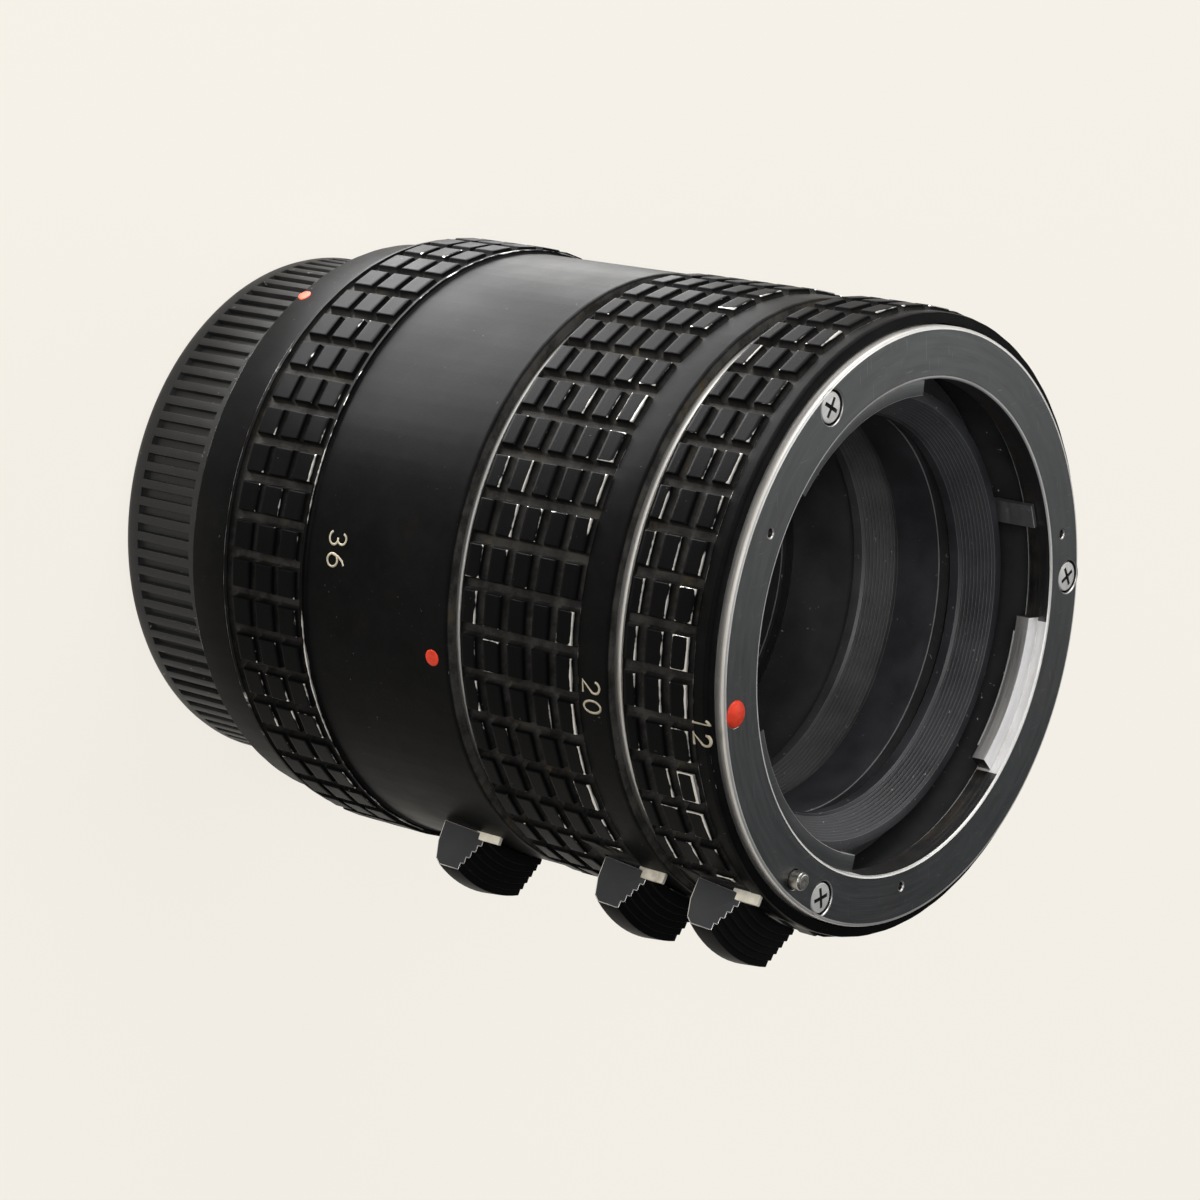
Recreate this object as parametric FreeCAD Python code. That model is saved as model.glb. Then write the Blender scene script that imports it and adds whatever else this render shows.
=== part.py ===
import FreeCAD, Part
import os
os.makedirs("parts", exist_ok=True)
from math import cos, hypot, sin, radians

# Set of three bayonet extension tubes (12, 20 and 36 mm) locked together, standing on the rear cap.
# Millimetres. Z is the optical axis, up is the lens side, the red index marks face -Y.
V = FreeCAD.Vector
UP = V(0, 0, 1)
ORIGIN = V(0, 0, 0)

# Driving sizes: flange-to-flange lengths, the height that the cap adds below the last flange, and the
# register bore of the lens mount. Every other radius is a step away from that bore.
LENGTHS = {"12": 12.0, "20": 20.0, "36": 36.0}
ORDER = ["36", "20", "12"]
CAP_HEIGHT = 13.3
MOUNT_BORE_R = 24.10

# Outer radii.
PLATE_R = MOUNT_BORE_R + 5.06
BODY_R = PLATE_R + 1.24
BAND_R = {"12": BODY_R, "20": BODY_R, "36": BODY_R + 0.2}
REAR_BAND_R = BODY_R - 0.55
PAD_R = BODY_R + 0.45
REAR_PAD_R = BODY_R + 0.9
CAP_R = MOUNT_BORE_R + 3.07

# Small steps used in many places.
EDGE = 0.2
STEP = 0.05
OVER = 0.1
BITE = 0.5

# Lens-side mount plate, shared by the three tubes.
PLATE_THICK = 2.6
PLATE_GAP = 0.19
PLATE_EDGE = 0.22
PLATE_PROUD = {"12": 0.9, "20": 0.6, "36": 0.35}
BORE_EDGE = 0.15
LUG_IN_R = MOUNT_BORE_R - 1.75
LUG_DEPTH = 1.1
FEMALE_LUGS = [(168.8, 220.8), (278.8, 336.8), (36.3, 75.8)]
INDEX_ANGLE = 270.0
INDEX_R = MOUNT_BORE_R + 3.4
DOT_R = 1.3
DOT_RISE = 0.45
DOT_SEAT = 0.3
DOT_DOME = ((1.0, 0.0), (0.86, 0.55), (0.5, 0.9), (0.0, 1.0))
SCREW_RING_R = MOUNT_BORE_R + 3.2
SCREW_ANGLES = [84.8, 204.8, 324.8]
SCREW_HEAD_R = 1.5
SCREW_SEAT_R = 1.68
SCREW_SEAT_DEPTH = 0.85
SCREW_HEAD_H = 0.75
SCREW_SHANK_R = 0.8
SCREW_LENGTH = 4.8
SCREW_TIP_ROOM = 0.3
CROSS_SLOT = (2.2, 0.36, 0.4)
CROSS_TURN = 35.0
DIMPLES = [(MOUNT_BORE_R + 2.2, 234.0), (MOUNT_BORE_R + 2.2, 95.1), (MOUNT_BORE_R + 1.7, 353.4)]
DIMPLE_R = 0.5
DIMPLE_DEPTH = 0.4

# Camera-side bayonet ring, shared by the three tubes. It fits the mount plate above and clears its red dot.
FIT = 0.08
RING_R = PLATE_R + 0.04
RING_FLANGE = 1.0
SEAT_R = INDEX_R - DOT_R - OVER
RELIEF = 0.5
REGISTER_DEPTH = 1.0
RING_BORE_R = MOUNT_BORE_R - 3.8
MALE_LUG_TOP = 2.95
MALE_DEPTH = 4.25
MALE_LUGS = [(172.0, 216.0), (284.0, 330.0), (40.0, 72.0)]
WEB_TOP = 2.4
RING_SCREW_R = MOUNT_BORE_R + 1.1
RING_SCREW_ANGLES = [20.0, 140.0, 250.0]
RING_SCREW_HEAD_R = 0.95
RING_SCREW_HEAD_H = 0.55
RING_SCREW_SHANK_R = 0.55
RING_SCREW_LENGTH = WEB_TOP - RING_SCREW_HEAD_H - STEP - OVER
RING_SCREW_SLOT = (1.3, 0.24, 0.25)

# Leaf springs under the lugs of the mount plate.
LEAF_THICK = 0.22
LEAF_HOOP = (MOUNT_BORE_R + 0.15, MOUNT_BORE_R + 1.5)
LEAF_IN_R = LUG_IN_R + 0.1
LEAF_SHORT_DEG = 4.0

# Lock: knob, brass slide plate, pin and its spring. Depths are below the tube's front face.
MOUNT_WALL_R = MOUNT_BORE_R + 1.9
PIN_ANGLE = 313.5
PIN_RING_R = MOUNT_BORE_R + 3.3
PIN_R = 0.9
PIN_RISE = 1.2
PIN_BOTTOM = 7.6
PIN_FIT = 0.05
PIN_BORE_BOTTOM = 10.5
PIN_HOLE_ROOM = 0.2
PIN_TIP_ROOM = 0.3
LOCK_TRAVEL = 1.9
LOCK_ROOM = 0.1
ARM_R = (MOUNT_WALL_R + 0.3, MOUNT_WALL_R + 3.0)
ARM_TOP = 4.4
ARM_BOTTOM = 6.7
ARM_OVER_DEG = 2.6
SLOT_ROOM_DEG = 0.25
STEM_DEG = (-9.0, -2.0)
KNOB_ANGLE = {"12": 319.6, "20": 321.5, "36": 325.6}
KNOB_BACK = {"12": 0.0, "20": 0.0, "36": 2.4}
KNOB_FRONT = 3.1
KNOB_REAR = 8.0
KNOB_FLAT = 3.0
KNOB_UNDER_R = BAND_R["36"] + 0.06
KNOB_TOP = KNOB_UNDER_R + 3.84
KNOB_FOOT = KNOB_UNDER_R + 0.24
KNOB_BODY_R = KNOB_UNDER_R - 2.0
KNOB_HALF_REAR = 6.15
KNOB_HALF_FRONT = 4.65
KNOB_CROWN = 1.2
KNOB_CROWN_R = (KNOB_HALF_REAR ** 2 + KNOB_CROWN ** 2) / (2 * KNOB_CROWN)
KNOB_CROWN_X = KNOB_TOP + KNOB_CROWN - KNOB_CROWN_R
KNOB_ROUND = 0.9
KNOB_BACK_ROUND = ((2.5, 0.0), (0.6, 0.4), (0.0, 1.0))
KNOB_TEETH = 5
TOOTH_DEPTH = 0.28
TOOTH_FALL_SHARE = 0.78
TOOTH_RUN_SHARE = 0.4
EAR_Y = (-4.95, -4.5)
EAR_X = (BODY_R - 0.9, BODY_R + 0.6)
EAR_FRONT = 1.4
EAR_REAR = 4.6
STRIP_THICK = 0.4
SPRING_TURNS = 4
SPRING_STEPS = 8
SPRING_WIRE = 0.2
SPRING_R = 0.62

# Aperture coupling ring with its tab and finger, and the light baffle that it turns on.
BAFFLE_SEAT = 0.6
SLEEVE_R = MOUNT_BORE_R - 1.18
SLEEVE_WALL = 1.72
SLEEVE_FIT = 0.03
BAFFLE_LIP_R = SLEEVE_R + 0.43
BAFFLE_LIP_H = 0.5
BAFFLE_TOP = 5.2
THREAD_BOTTOM = 8.25
BAFFLE_MOUTH_R = MOUNT_BORE_R - 2.3
BAFFLE_THROAT_R = MOUNT_BORE_R - 4.4
THROAT_LENGTH = 1.0
THROAT_SLOPE = 0.35
THREADS = 3
THREAD_DEPTH = 0.3
THREAD_RUN_SHARE = 0.75
COUPLING_R = MOUNT_BORE_R + 1.5
COUPLING_H = 1.35
TAB_ROOM = 0.27
TAB_R = (MOUNT_BORE_R - 0.65, MOUNT_BORE_R - 0.15)
TAB_ANGLES = (98.8, 104.8)
TAB_TOP = 1.3
FINGER_ANGLES = (105.3, 108.5)
FINGER_REACH = 3.6
FINGER_ROOM_DEG = 1.5
COUPLING_TRAVEL = 20.0

# Grip pads: rows round the barrel, columns along it. Column tops are depths below the tube's front face.
ROWS = 44
ROW_PHASE = 316.1
ROW_TOP_DEG = 5.8
ROW_ROOT_DEG = 6.8
ROW_REACH = 0.6
GROOVE_R = BODY_R - 0.3
ROW_FLOOR_R = BODY_R - 0.45
PAD_BEVEL = 0.3
COLUMN_PITCH = 3.0
COLUMN_W = 1.9
COLUMN_START = 0.35
GRIP_MARGIN = 0.7
BAND_END = {"12": 2.7, "20": 4.3}
SHORT_LIP_W = 0.3
WINDOW_HALF_DEG = 14.0
REAR_ROWS = 50
REAR_ROW_PHASE = 254.8
REAR_ROW_TOP_DEG = 5.0
REAR_ROW_ROOT_DEG = 5.9
REAR_GROOVE_R = BODY_R + 0.05
REAR_ROW_FLOOR_R = BODY_R - 0.1
REAR_LIP_R = BODY_R + 0.6
REAR_LIP_W = 0.65
FRONT_LIP = (0.25, 0.4)
REAR_GRIP_LENGTH = 11.2
REAR_BAND_LENGTH = 5.6
REAR_COLUMN_PITCH = 3.15
REAR_COLUMN_W = 2.35
REAR_COLUMN_START = 0.85
REAR_MARGIN = 1.3
WEB_BORE_R = RING_BORE_R + 0.6
MOUNT_WALL_END = 11.2
THIN_WALL_R = MOUNT_BORE_R + 4.3

# Small painted dots on the 36 mm barrel: angle, distance along it, radius.
BARREL_DOT = (270.0, 2.4, 0.85)
REAR_DOT = (202.4, 0.8, 0.7)
PAINT = 0.06
PAINT_SEAT = 0.35
PAINT_BAR = 1.0
PAINT_BAND = 3.0

# Rear cap.
CAP_FLOOR = 1.8
CAP_EDGE = 1.3
CAP_EDGE_SHARE = 0.3
RIBS = 93
RIB_TOP = CAP_HEIGHT - 3.3
RIB_BOTTOM = 2.4
RIB_DEPTH = 0.55
RIB_GAP_SHARE = 0.5
RIB_TAPER = 0.9


def polar(radius, degrees, z=0.0):
    """Point at a radius and an angle about the axis."""
    return V(radius * cos(radians(degrees)), radius * sin(radians(degrees)), z)


def turned(outline, start=0.0, sweep=360.0):
    """Solid turned about Z from a closed outline of (radius, z) pairs."""
    points = [polar(r, start, z) for r, z in outline]
    face = Part.Face(Part.makePolygon(points + points[:1]))
    return face.revolve(ORIGIN, UP, sweep)


def ring(inner, outer, low, high):
    """Plain ring, or a disc when the inner radius is zero."""
    return turned([(inner, low), (outer, low), (outer, high), (inner, high)])


def sector(inner, outer, low, high, span):
    """Part of a ring between two angles."""
    outline = [(inner, low), (outer, low), (outer, high), (inner, high)]
    return turned(outline, span[0], span[1] - span[0])


def rod(radius, low, high, at_radius, degrees):
    """Round bar parallel to the axis."""
    return Part.makeCylinder(radius, high - low, polar(at_radius, degrees, low), UP)


def facing(shape, degrees):
    """Turn a shape drawn about +X to an angle."""
    shape.rotate(ORIGIN, UP, degrees)
    return shape


def save(name, shape, height=0.0):
    """Move a piece to its height and write its file."""
    piece = shape.copy()
    piece.translate(V(0, 0, height))
    piece.exportStep("parts/" + name + ".step")


def toothed_wire(count, phase, floor_r, top_deg, root_deg, pad_r, window=None):
    """Closed outline that keeps the rows of pads and leaves a flat floor between them."""
    reach = pad_r + ROW_REACH
    reach_deg = top_deg - (root_deg - top_deg) * ROW_REACH / (pad_r - floor_r)
    step = 180.0 / count
    points = []
    for i in range(count):
        centre = phase + i * 360.0 / count
        if window and abs((centre - window + 180.0) % 360.0 - 180.0) < WINDOW_HALF_DEG:
            points += [polar(GROOVE_R, centre + turn) for turn in (-step / 2, step / 2)]
            continue
        points += [polar(floor_r, centre - root_deg / 2), polar(reach, centre - reach_deg / 2)]
        points += [polar(reach, centre + reach_deg / 2), polar(floor_r, centre + root_deg / 2)]
    return Part.makePolygon(points + points[:1])


def row_cutter(wire, pad_r, low, high):
    """Everything outside the toothed outline between two heights."""
    kept = Part.Face(wire).extrude(V(0, 0, high - low))
    kept.translate(V(0, 0, low))
    return ring(0, pad_r + ROW_REACH / 2, low, high).cut(kept)


def column_spans(start, end, pitch, width):
    """Depths of the tops of the columns of pads. The last one is cut short by the end of the grip."""
    spans = []
    top = start
    while top + width / 2 < end:
        spans.append((top, min(top + width, end)))
        top += pitch
    return spans


def grip_columns(tag):
    """Columns of pads of one tube, as depths below its front face."""
    length = LENGTHS[tag]
    if tag == "36":
        start = length - REAR_BAND_LENGTH - REAR_GRIP_LENGTH
        end = length - REAR_BAND_LENGTH - REAR_MARGIN
        return column_spans(start + REAR_COLUMN_START, end, REAR_COLUMN_PITCH, REAR_COLUMN_W)
    end = length - RING_FLANGE - GRIP_MARGIN
    return column_spans(BAND_END[tag] + COLUMN_START, end, COLUMN_PITCH, COLUMN_W)


def ridge_points(columns, floor_r, top_r):
    """Outline of the turned ridges that the rows are cut from, going down."""
    points = []
    for top, bottom in columns:
        points += [(floor_r, -top + PAD_BEVEL), (top_r, -top)]
        points += [(top_r, -bottom), (floor_r, -bottom - PAD_BEVEL)]
    return points


def long_barrel_outline(columns):
    """Outside of the longest barrel: plain front, raised grip ring between two lips, slimmer rear band."""
    length, band = LENGTHS["36"], BAND_R["36"]
    grip_end = -(length - REAR_BAND_LENGTH)
    grip_start = grip_end + REAR_GRIP_LENGTH
    rise, end = FRONT_LIP
    points = [(band, grip_start), (REAR_LIP_R, grip_start - rise), (REAR_LIP_R, grip_start - end)]
    points.append((REAR_GROOVE_R, grip_start - end - STEP))
    points += ridge_points(columns, REAR_GROOVE_R, REAR_PAD_R)
    points += [(REAR_GROOVE_R, grip_end + REAR_LIP_W + STEP), (REAR_LIP_R, grip_end + REAR_LIP_W)]
    points += [(REAR_LIP_R, grip_end + EDGE), (REAR_LIP_R - EDGE, grip_end), (REAR_BAND_R, grip_end)]
    points += [(REAR_BAND_R, -length + STEP + OVER), (REAR_BAND_R - OVER, -length + STEP)]
    points += [(RING_R + OVER, -length + STEP), (RING_R + OVER, RING_FLANGE - length)]
    return points


def short_barrel_outline(tag, columns):
    """Outside of a short barrel: smooth numbered band, grip down to a thin rear lip."""
    band, rear = BAND_R[tag], RING_FLANGE - LENGTHS[tag]
    points = [(band, -BAND_END[tag] + OVER), (band - OVER, -BAND_END[tag]), (GROOVE_R, -BAND_END[tag])]
    points += ridge_points(columns, GROOVE_R, PAD_R)
    points += [(GROOVE_R, rear + SHORT_LIP_W + STEP), (band - STEP, rear + SHORT_LIP_W)]
    points += [(band - STEP, rear + EDGE - STEP), (band - EDGE, rear)]
    return points


def barrel_inside(length):
    """Inside of a barrel, going up: ring bore, baffle seat in the web, hollow, mount pocket."""
    rear, web = RING_FLANGE - length, WEB_TOP - length
    seat_r = SLEEVE_R + SLEEVE_FIT
    shoulder = web - BAFFLE_SEAT
    points = [(WEB_BORE_R, rear), (WEB_BORE_R, shoulder), (seat_r, shoulder), (seat_r, web)]
    wall_end = MOUNT_WALL_END + KNOB_BACK["36"]
    if length > wall_end + WEB_TOP:
        points += [(THIN_WALL_R, web), (THIN_WALL_R, -wall_end), (MOUNT_WALL_R, -wall_end)]
    else:
        points += [(MOUNT_WALL_R, web)]
    return points + [(MOUNT_WALL_R, -PLATE_THICK), (PLATE_R + PLATE_GAP, -PLATE_THICK)]


def cut_rows(body, tag, columns):
    """Part the ridges into rows of pads, leaving a smooth window under the knob of a short barrel."""
    bottom = -columns[-1][1] - PAD_BEVEL
    if tag == "36":
        places = (REAR_ROWS, REAR_ROW_PHASE, REAR_ROW_FLOOR_R)
        wire = toothed_wire(*places, REAR_ROW_TOP_DEG, REAR_ROW_ROOT_DEG, REAR_PAD_R)
        return body.cut(row_cutter(wire, REAR_PAD_R, bottom, -columns[0][0] + PAD_BEVEL))
    reach = KNOB_REAR + LOCK_TRAVEL + LOCK_ROOM
    under = [low + PAD_BEVEL for top, low in columns if top < reach]
    split = max(-max(under + [reach]), bottom)
    sizes = (ROWS, ROW_PHASE, ROW_FLOOR_R, ROW_TOP_DEG, ROW_ROOT_DEG, PAD_R)
    body = body.cut(row_cutter(toothed_wire(*sizes, KNOB_ANGLE[tag]), PAD_R, split, -BAND_END[tag]))
    if split > bottom:
        body = body.cut(row_cutter(toothed_wire(*sizes), PAD_R, bottom, split))
    return body


def barrel(tag):
    """Barrel of one tube with its grip, drawn below a front face at height zero."""
    length, proud, band = LENGTHS[tag], PLATE_PROUD[tag], BAND_R[tag]
    rear, web = RING_FLANGE - length, WEB_TOP - length
    columns = grip_columns(tag)
    outside = [(PLATE_R + PLATE_GAP, -proud), (band - EDGE, -proud), (band, -proud - EDGE)]
    outside += long_barrel_outline(columns) if tag == "36" else short_barrel_outline(tag, columns)
    body = cut_rows(turned(outside + barrel_inside(length)), tag, columns)

    tip = rear + PIN_RISE - RING_FLANGE + PIN_TIP_ROOM
    low, high = rear - OVER, web + OVER
    holes = [rod(SCREW_SHANK_R, -SCREW_LENGTH - SCREW_TIP_ROOM, 0, SCREW_RING_R, a) for a in SCREW_ANGLES]
    holes += lock_holes(tag)
    holes += [rod(RING_SCREW_SHANK_R, low, high, RING_SCREW_R, a) for a in RING_SCREW_ANGLES]
    holes.append(sector(TAB_R[0] - TAB_ROOM, TAB_R[1] + TAB_ROOM, low, high, finger_window()))
    holes.append(rod(PIN_R + PIN_HOLE_ROOM, low, tip, PIN_RING_R, PIN_ANGLE))
    if tag == "36":
        holes.append(dot_recess(BARREL_DOT, band, 0))
        holes.append(dot_recess(REAR_DOT, REAR_BAND_R, -length))
    return body.cut(holes)


def lock_holes(tag):
    """Pin bore, the slot of the knob's arm and stem, and the groove of the brass ear."""
    back, angle = KNOB_BACK[tag], KNOB_ANGLE[tag]
    low = -(ARM_BOTTOM + LOCK_TRAVEL + LOCK_ROOM) - back
    high = LOCK_ROOM - ARM_TOP - back
    first, last = stem_span(tag)
    arm_span = (PIN_ANGLE - ARM_OVER_DEG - SLOT_ROOM_DEG, last + SLOT_ROOM_DEG)
    stem_slot = (first - SLOT_ROOM_DEG, last + SLOT_ROOM_DEG)
    bore = rod(PIN_R + PIN_FIT, -PIN_BORE_BOTTOM - back, 0, PIN_RING_R, PIN_ANGLE)
    arm = sector(MOUNT_WALL_R - BITE, ARM_R[1] + LOCK_ROOM, low, high, arm_span)
    stem = sector(ARM_R[1] - BITE, KNOB_UNDER_R + BITE, low, high, stem_slot)
    wide = EAR_Y[1] - EAR_Y[0] + 2 * LOCK_ROOM
    deep = EAR_REAR + LOCK_TRAVEL + LOCK_ROOM - EAR_FRONT + LOCK_ROOM
    corner = V(EAR_X[0] - LOCK_ROOM, EAR_Y[0] - LOCK_ROOM, LOCK_ROOM - EAR_FRONT - back - deep)
    groove = Part.makeBox(KNOB_UNDER_R + BITE - EAR_X[0], wide, deep, corner)
    return [bore, arm, stem, facing(groove, angle)]


def stem_span(tag):
    """Angles of the stem between the arm at the pin and the knob."""
    angle = KNOB_ANGLE[tag]
    return (max(PIN_ANGLE - ARM_OVER_DEG, angle + STEM_DEG[0]), angle + STEM_DEG[1])


def finger_window():
    """Angles that the finger of the coupling ring sweeps, with room at both ends."""
    return (FINGER_ANGLES[0] - COUPLING_TRAVEL - FINGER_ROOM_DEG, FINGER_ANGLES[1] + FINGER_ROOM_DEG)


def dot_recess(dot, surface_r, datum):
    """Shallow round recess for a painted dot. The dot's place is counted from a datum height."""
    angle, offset, radius = dot
    height = datum + offset if datum else -offset
    bar = Part.makeCylinder(radius, 2 * PAINT_BAR, V(surface_r - PAINT_BAR, 0, height), V(1, 0, 0))
    core = ring(0, surface_r - PAINT_SEAT, height - PAINT_BAND, height + PAINT_BAND)
    return facing(bar.cut(core), angle)


def painted_dot(dot, surface_r, datum):
    """Paint that fills the recess and stands a hair proud."""
    height = datum + dot[1] if datum else -dot[1]
    skin = ring(0, surface_r + PAINT, height - PAINT_BAND, height + PAINT_BAND)
    return dot_recess(dot, surface_r, datum).common(skin)


def mount_plate():
    """Lens-side flange with the three lugs, its screw seats, pin hole and small dimples."""
    low = -PLATE_THICK
    outline = [(MOUNT_BORE_R, low), (PLATE_R, low), (PLATE_R, -PLATE_EDGE), (PLATE_R - PLATE_EDGE, 0)]
    outline += [(MOUNT_BORE_R + BORE_EDGE, 0), (MOUNT_BORE_R, -BORE_EDGE)]
    plate = turned(outline)
    lugs = [sector(LUG_IN_R, MOUNT_BORE_R + BITE, low, -LUG_DEPTH, span) for span in FEMALE_LUGS]
    plate = plate.fuse(lugs).removeSplitter()
    cuts = []
    for angle in SCREW_ANGLES:
        cuts.append(rod(SCREW_SEAT_R, -SCREW_SEAT_DEPTH, 1, SCREW_RING_R, angle))
        cuts.append(rod(SCREW_SHANK_R + OVER, low - 1, 0, SCREW_RING_R, angle))
    cuts.append(rod(PIN_R + OVER, low - 1, 1, PIN_RING_R, PIN_ANGLE))
    cuts.append(rod(DOT_R, -DOT_SEAT, 1, INDEX_R, INDEX_ANGLE))
    for radius, angle in DIMPLES:
        cuts.append(rod(DIMPLE_R, -DIMPLE_DEPTH, 1, radius, angle))
    return plate.cut(cuts)


def index_dot():
    """Raised red dot set into the mount plate."""
    dot = turned([(0, -DOT_SEAT), (DOT_R, -DOT_SEAT)] + [(DOT_R * r, DOT_RISE * z) for r, z in DOT_DOME])
    dot.translate(polar(INDEX_R, INDEX_ANGLE))
    return dot


def screws(head_r, head_h, shank_r, length, ring_r, angles, seat, cross):
    """Group of cross-slot screws. The heads' undersides are at the seat height, tips below."""
    group = []
    long, wide, deep = cross
    for i, angle in enumerate(angles):
        screw = Part.makeCylinder(head_r, head_h, V(0, 0, seat), UP)
        screw = screw.fuse(Part.makeCylinder(shank_r, length, V(0, 0, seat - length), UP))
        top = seat + head_h
        for turn in (0, 90):
            bar = Part.makeBox(long, wide, deep + 1, V(-long / 2, -wide / 2, top - deep))
            bar.rotate(ORIGIN, UP, turn + CROSS_TURN * i)
            screw = screw.cut(bar)
        screw.translate(polar(ring_r, angle))
        group.append(screw)
    return Part.makeCompound(group)


def leaf_spring():
    """Thin hoop with one leaf under each lug of the mount plate."""
    high = -PLATE_THICK
    hoop = ring(LEAF_HOOP[0], LEAF_HOOP[1], high - LEAF_THICK, high)
    spans = [(a + LEAF_SHORT_DEG, b - LEAF_SHORT_DEG) for a, b in FEMALE_LUGS]
    leaves = [sector(LEAF_IN_R, LEAF_HOOP[0] + BITE, high - LEAF_THICK, high, span) for span in spans]
    return hoop.fuse(leaves).removeSplitter()


def bayonet_ring():
    """Camera-side bayonet below a seat at height zero: flange, register, neck and three lugs."""
    outline = [(RING_BORE_R, RING_FLANGE), (RING_R, RING_FLANGE), (RING_R, RELIEF)]
    outline += [(SEAT_R, RELIEF), (SEAT_R, 0)]
    register_r = MOUNT_BORE_R - FIT
    neck_r = LUG_IN_R - FIT
    outline += [(register_r, 0), (register_r, -REGISTER_DEPTH), (neck_r, -REGISTER_DEPTH)]
    outline += [(neck_r, -MALE_DEPTH), (RING_BORE_R, -MALE_DEPTH)]
    body = turned(outline)
    lugs = [sector(neck_r - BITE, register_r, -MALE_DEPTH, -MALE_LUG_TOP, span) for span in MALE_LUGS]
    body = body.fuse(lugs).removeSplitter()
    cuts = [rod(PIN_R + PIN_HOLE_ROOM, -1, RING_FLANGE + 1, PIN_RING_R, PIN_ANGLE)]
    for angle in RING_SCREW_ANGLES:
        cuts.append(rod(RING_SCREW_HEAD_R + OVER, -1, RING_SCREW_HEAD_H + STEP, RING_SCREW_R, angle))
        cuts.append(rod(RING_SCREW_SHANK_R + STEP, -1, RING_FLANGE + 1, RING_SCREW_R, angle))
    low, high = -REGISTER_DEPTH - OVER, RING_FLANGE + OVER
    cuts.append(sector(TAB_R[0] - TAB_ROOM, MOUNT_BORE_R + OVER, low, high, finger_window()))
    return body.cut(cuts)


def plate_screws():
    """Three cross-slot screws in the seats of the mount plate."""
    return screws(SCREW_HEAD_R, SCREW_HEAD_H, SCREW_SHANK_R, SCREW_LENGTH - SCREW_SEAT_DEPTH, SCREW_RING_R,
                  SCREW_ANGLES, -SCREW_SEAT_DEPTH, CROSS_SLOT)


def ring_screws():
    """Three small screws that hold the bayonet ring, heads down."""
    angles = [-a for a in RING_SCREW_ANGLES]
    group = screws(RING_SCREW_HEAD_R, RING_SCREW_HEAD_H, RING_SCREW_SHANK_R, RING_SCREW_LENGTH, RING_SCREW_R,
                   angles, -RING_SCREW_HEAD_H - STEP, RING_SCREW_SLOT)
    group.rotate(ORIGIN, V(1, 0, 0), 180)
    return group


def baffle(tag):
    """Light baffle sleeve: rings in its mouth, a lip over the coupling ring, a foot pressed in the web."""
    length = LENGTHS[tag]
    web = WEB_TOP - length
    foot = web - BAFFLE_SEAT
    lip_low = web + COUPLING_H + OVER
    lip_high = lip_low + BAFFLE_LIP_H
    relief = -THREAD_BOTTOM - THROAT_LENGTH
    inner_r, neck_r = SLEEVE_R - SLEEVE_WALL, SLEEVE_R - OVER
    outline = [(BAFFLE_THROAT_R, relief), (inner_r, relief - THROAT_SLOPE), (inner_r, foot)]
    outline += [(SLEEVE_R, foot), (SLEEVE_R, lip_low), (BAFFLE_LIP_R, lip_low)]
    outline += [(BAFFLE_LIP_R, lip_high), (neck_r, lip_high), (neck_r, -BAFFLE_TOP)]
    step = (THREAD_BOTTOM - BAFFLE_TOP) / THREADS
    slope = (BAFFLE_MOUTH_R - BAFFLE_THROAT_R) / (THREAD_BOTTOM - BAFFLE_TOP)
    for i in range(THREADS):
        depth = i * step
        r = BAFFLE_MOUTH_R - slope * depth
        crest = (r - slope * step - THREAD_DEPTH, -BAFFLE_TOP - depth - step * THREAD_RUN_SHARE)
        outline += [(r, -BAFFLE_TOP - depth), crest]
    outline += [(BAFFLE_THROAT_R, -THREAD_BOTTOM)]
    return turned(outline)


def coupling_ring(tag):
    """Ring that carries the aperture motion: a tab up to the lens, a finger down to the next tube."""
    length = LENGTHS[tag]
    low = -(length - WEB_TOP)
    high = low + COUPLING_H
    body = ring(SLEEVE_R + FIT, COUPLING_R, low, high)
    tab = sector(TAB_R[0], TAB_R[1], low + EDGE, -TAB_TOP, TAB_ANGLES)
    finger = sector(TAB_R[0], TAB_R[1], -length - FINGER_REACH, high - EDGE, FINGER_ANGLES)
    return body.fuse([tab, finger]).removeSplitter()


def lock_pin(tag):
    """Lock pin with a chamfered tip."""
    tip, low = PIN_RISE, -PIN_BOTTOM - KNOB_BACK[tag]
    outline = [(0, low), (PIN_R, low), (PIN_R, tip - EDGE), (PIN_R - EDGE, tip), (0, tip)]
    pin = turned(outline)
    pin.translate(polar(PIN_RING_R, PIN_ANGLE))
    return pin


def pin_spring(tag):
    """Small coil under the pin, from the floor of its bore."""
    low = -PIN_BORE_BOTTOM - KNOB_BACK[tag] + SPRING_WIRE / 2
    high = -PIN_BOTTOM - KNOB_BACK[tag] - SPRING_WIRE / 2
    count = SPRING_TURNS * SPRING_STEPS
    half = SPRING_WIRE / 2
    profiles = []
    for i in range(count + 1):
        z = low + (high - low) * i / count
        a = 360.0 * i / SPRING_STEPS
        corners = [polar(SPRING_R - half, a, z - half), polar(SPRING_R + half, a, z - half)]
        corners += [polar(SPRING_R + half, a, z + half), polar(SPRING_R - half, a, z + half)]
        profiles.append(Part.makePolygon(corners + corners[:1]))
    coil = Part.makeLoft(profiles, True, True)
    coil.translate(polar(PIN_RING_R, PIN_ANGLE))
    return coil


def knob_profile():
    """Outline of the knob's side edge as (distance from the axis, z): flat top, serrated slope, foot."""
    slope_end = -KNOB_REAR + KNOB_FLAT
    points = [(KNOB_TOP - KNOB_ROUND * x, -KNOB_REAR + KNOB_ROUND * z) for x, z in KNOB_BACK_ROUND]
    run = (-KNOB_FRONT - slope_end) / KNOB_TEETH
    fall = (KNOB_TOP - KNOB_FOOT) / KNOB_TEETH
    for i in range(KNOB_TEETH):
        z = slope_end + i * run
        x = KNOB_TOP - i * fall
        root = (x - fall * TOOTH_FALL_SHARE - TOOTH_DEPTH / 2, z + run * TOOTH_RUN_SHARE - TOOTH_DEPTH / 2)
        points += [(x, z), root]
    return points + [(KNOB_FOOT, -KNOB_FRONT)]


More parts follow.
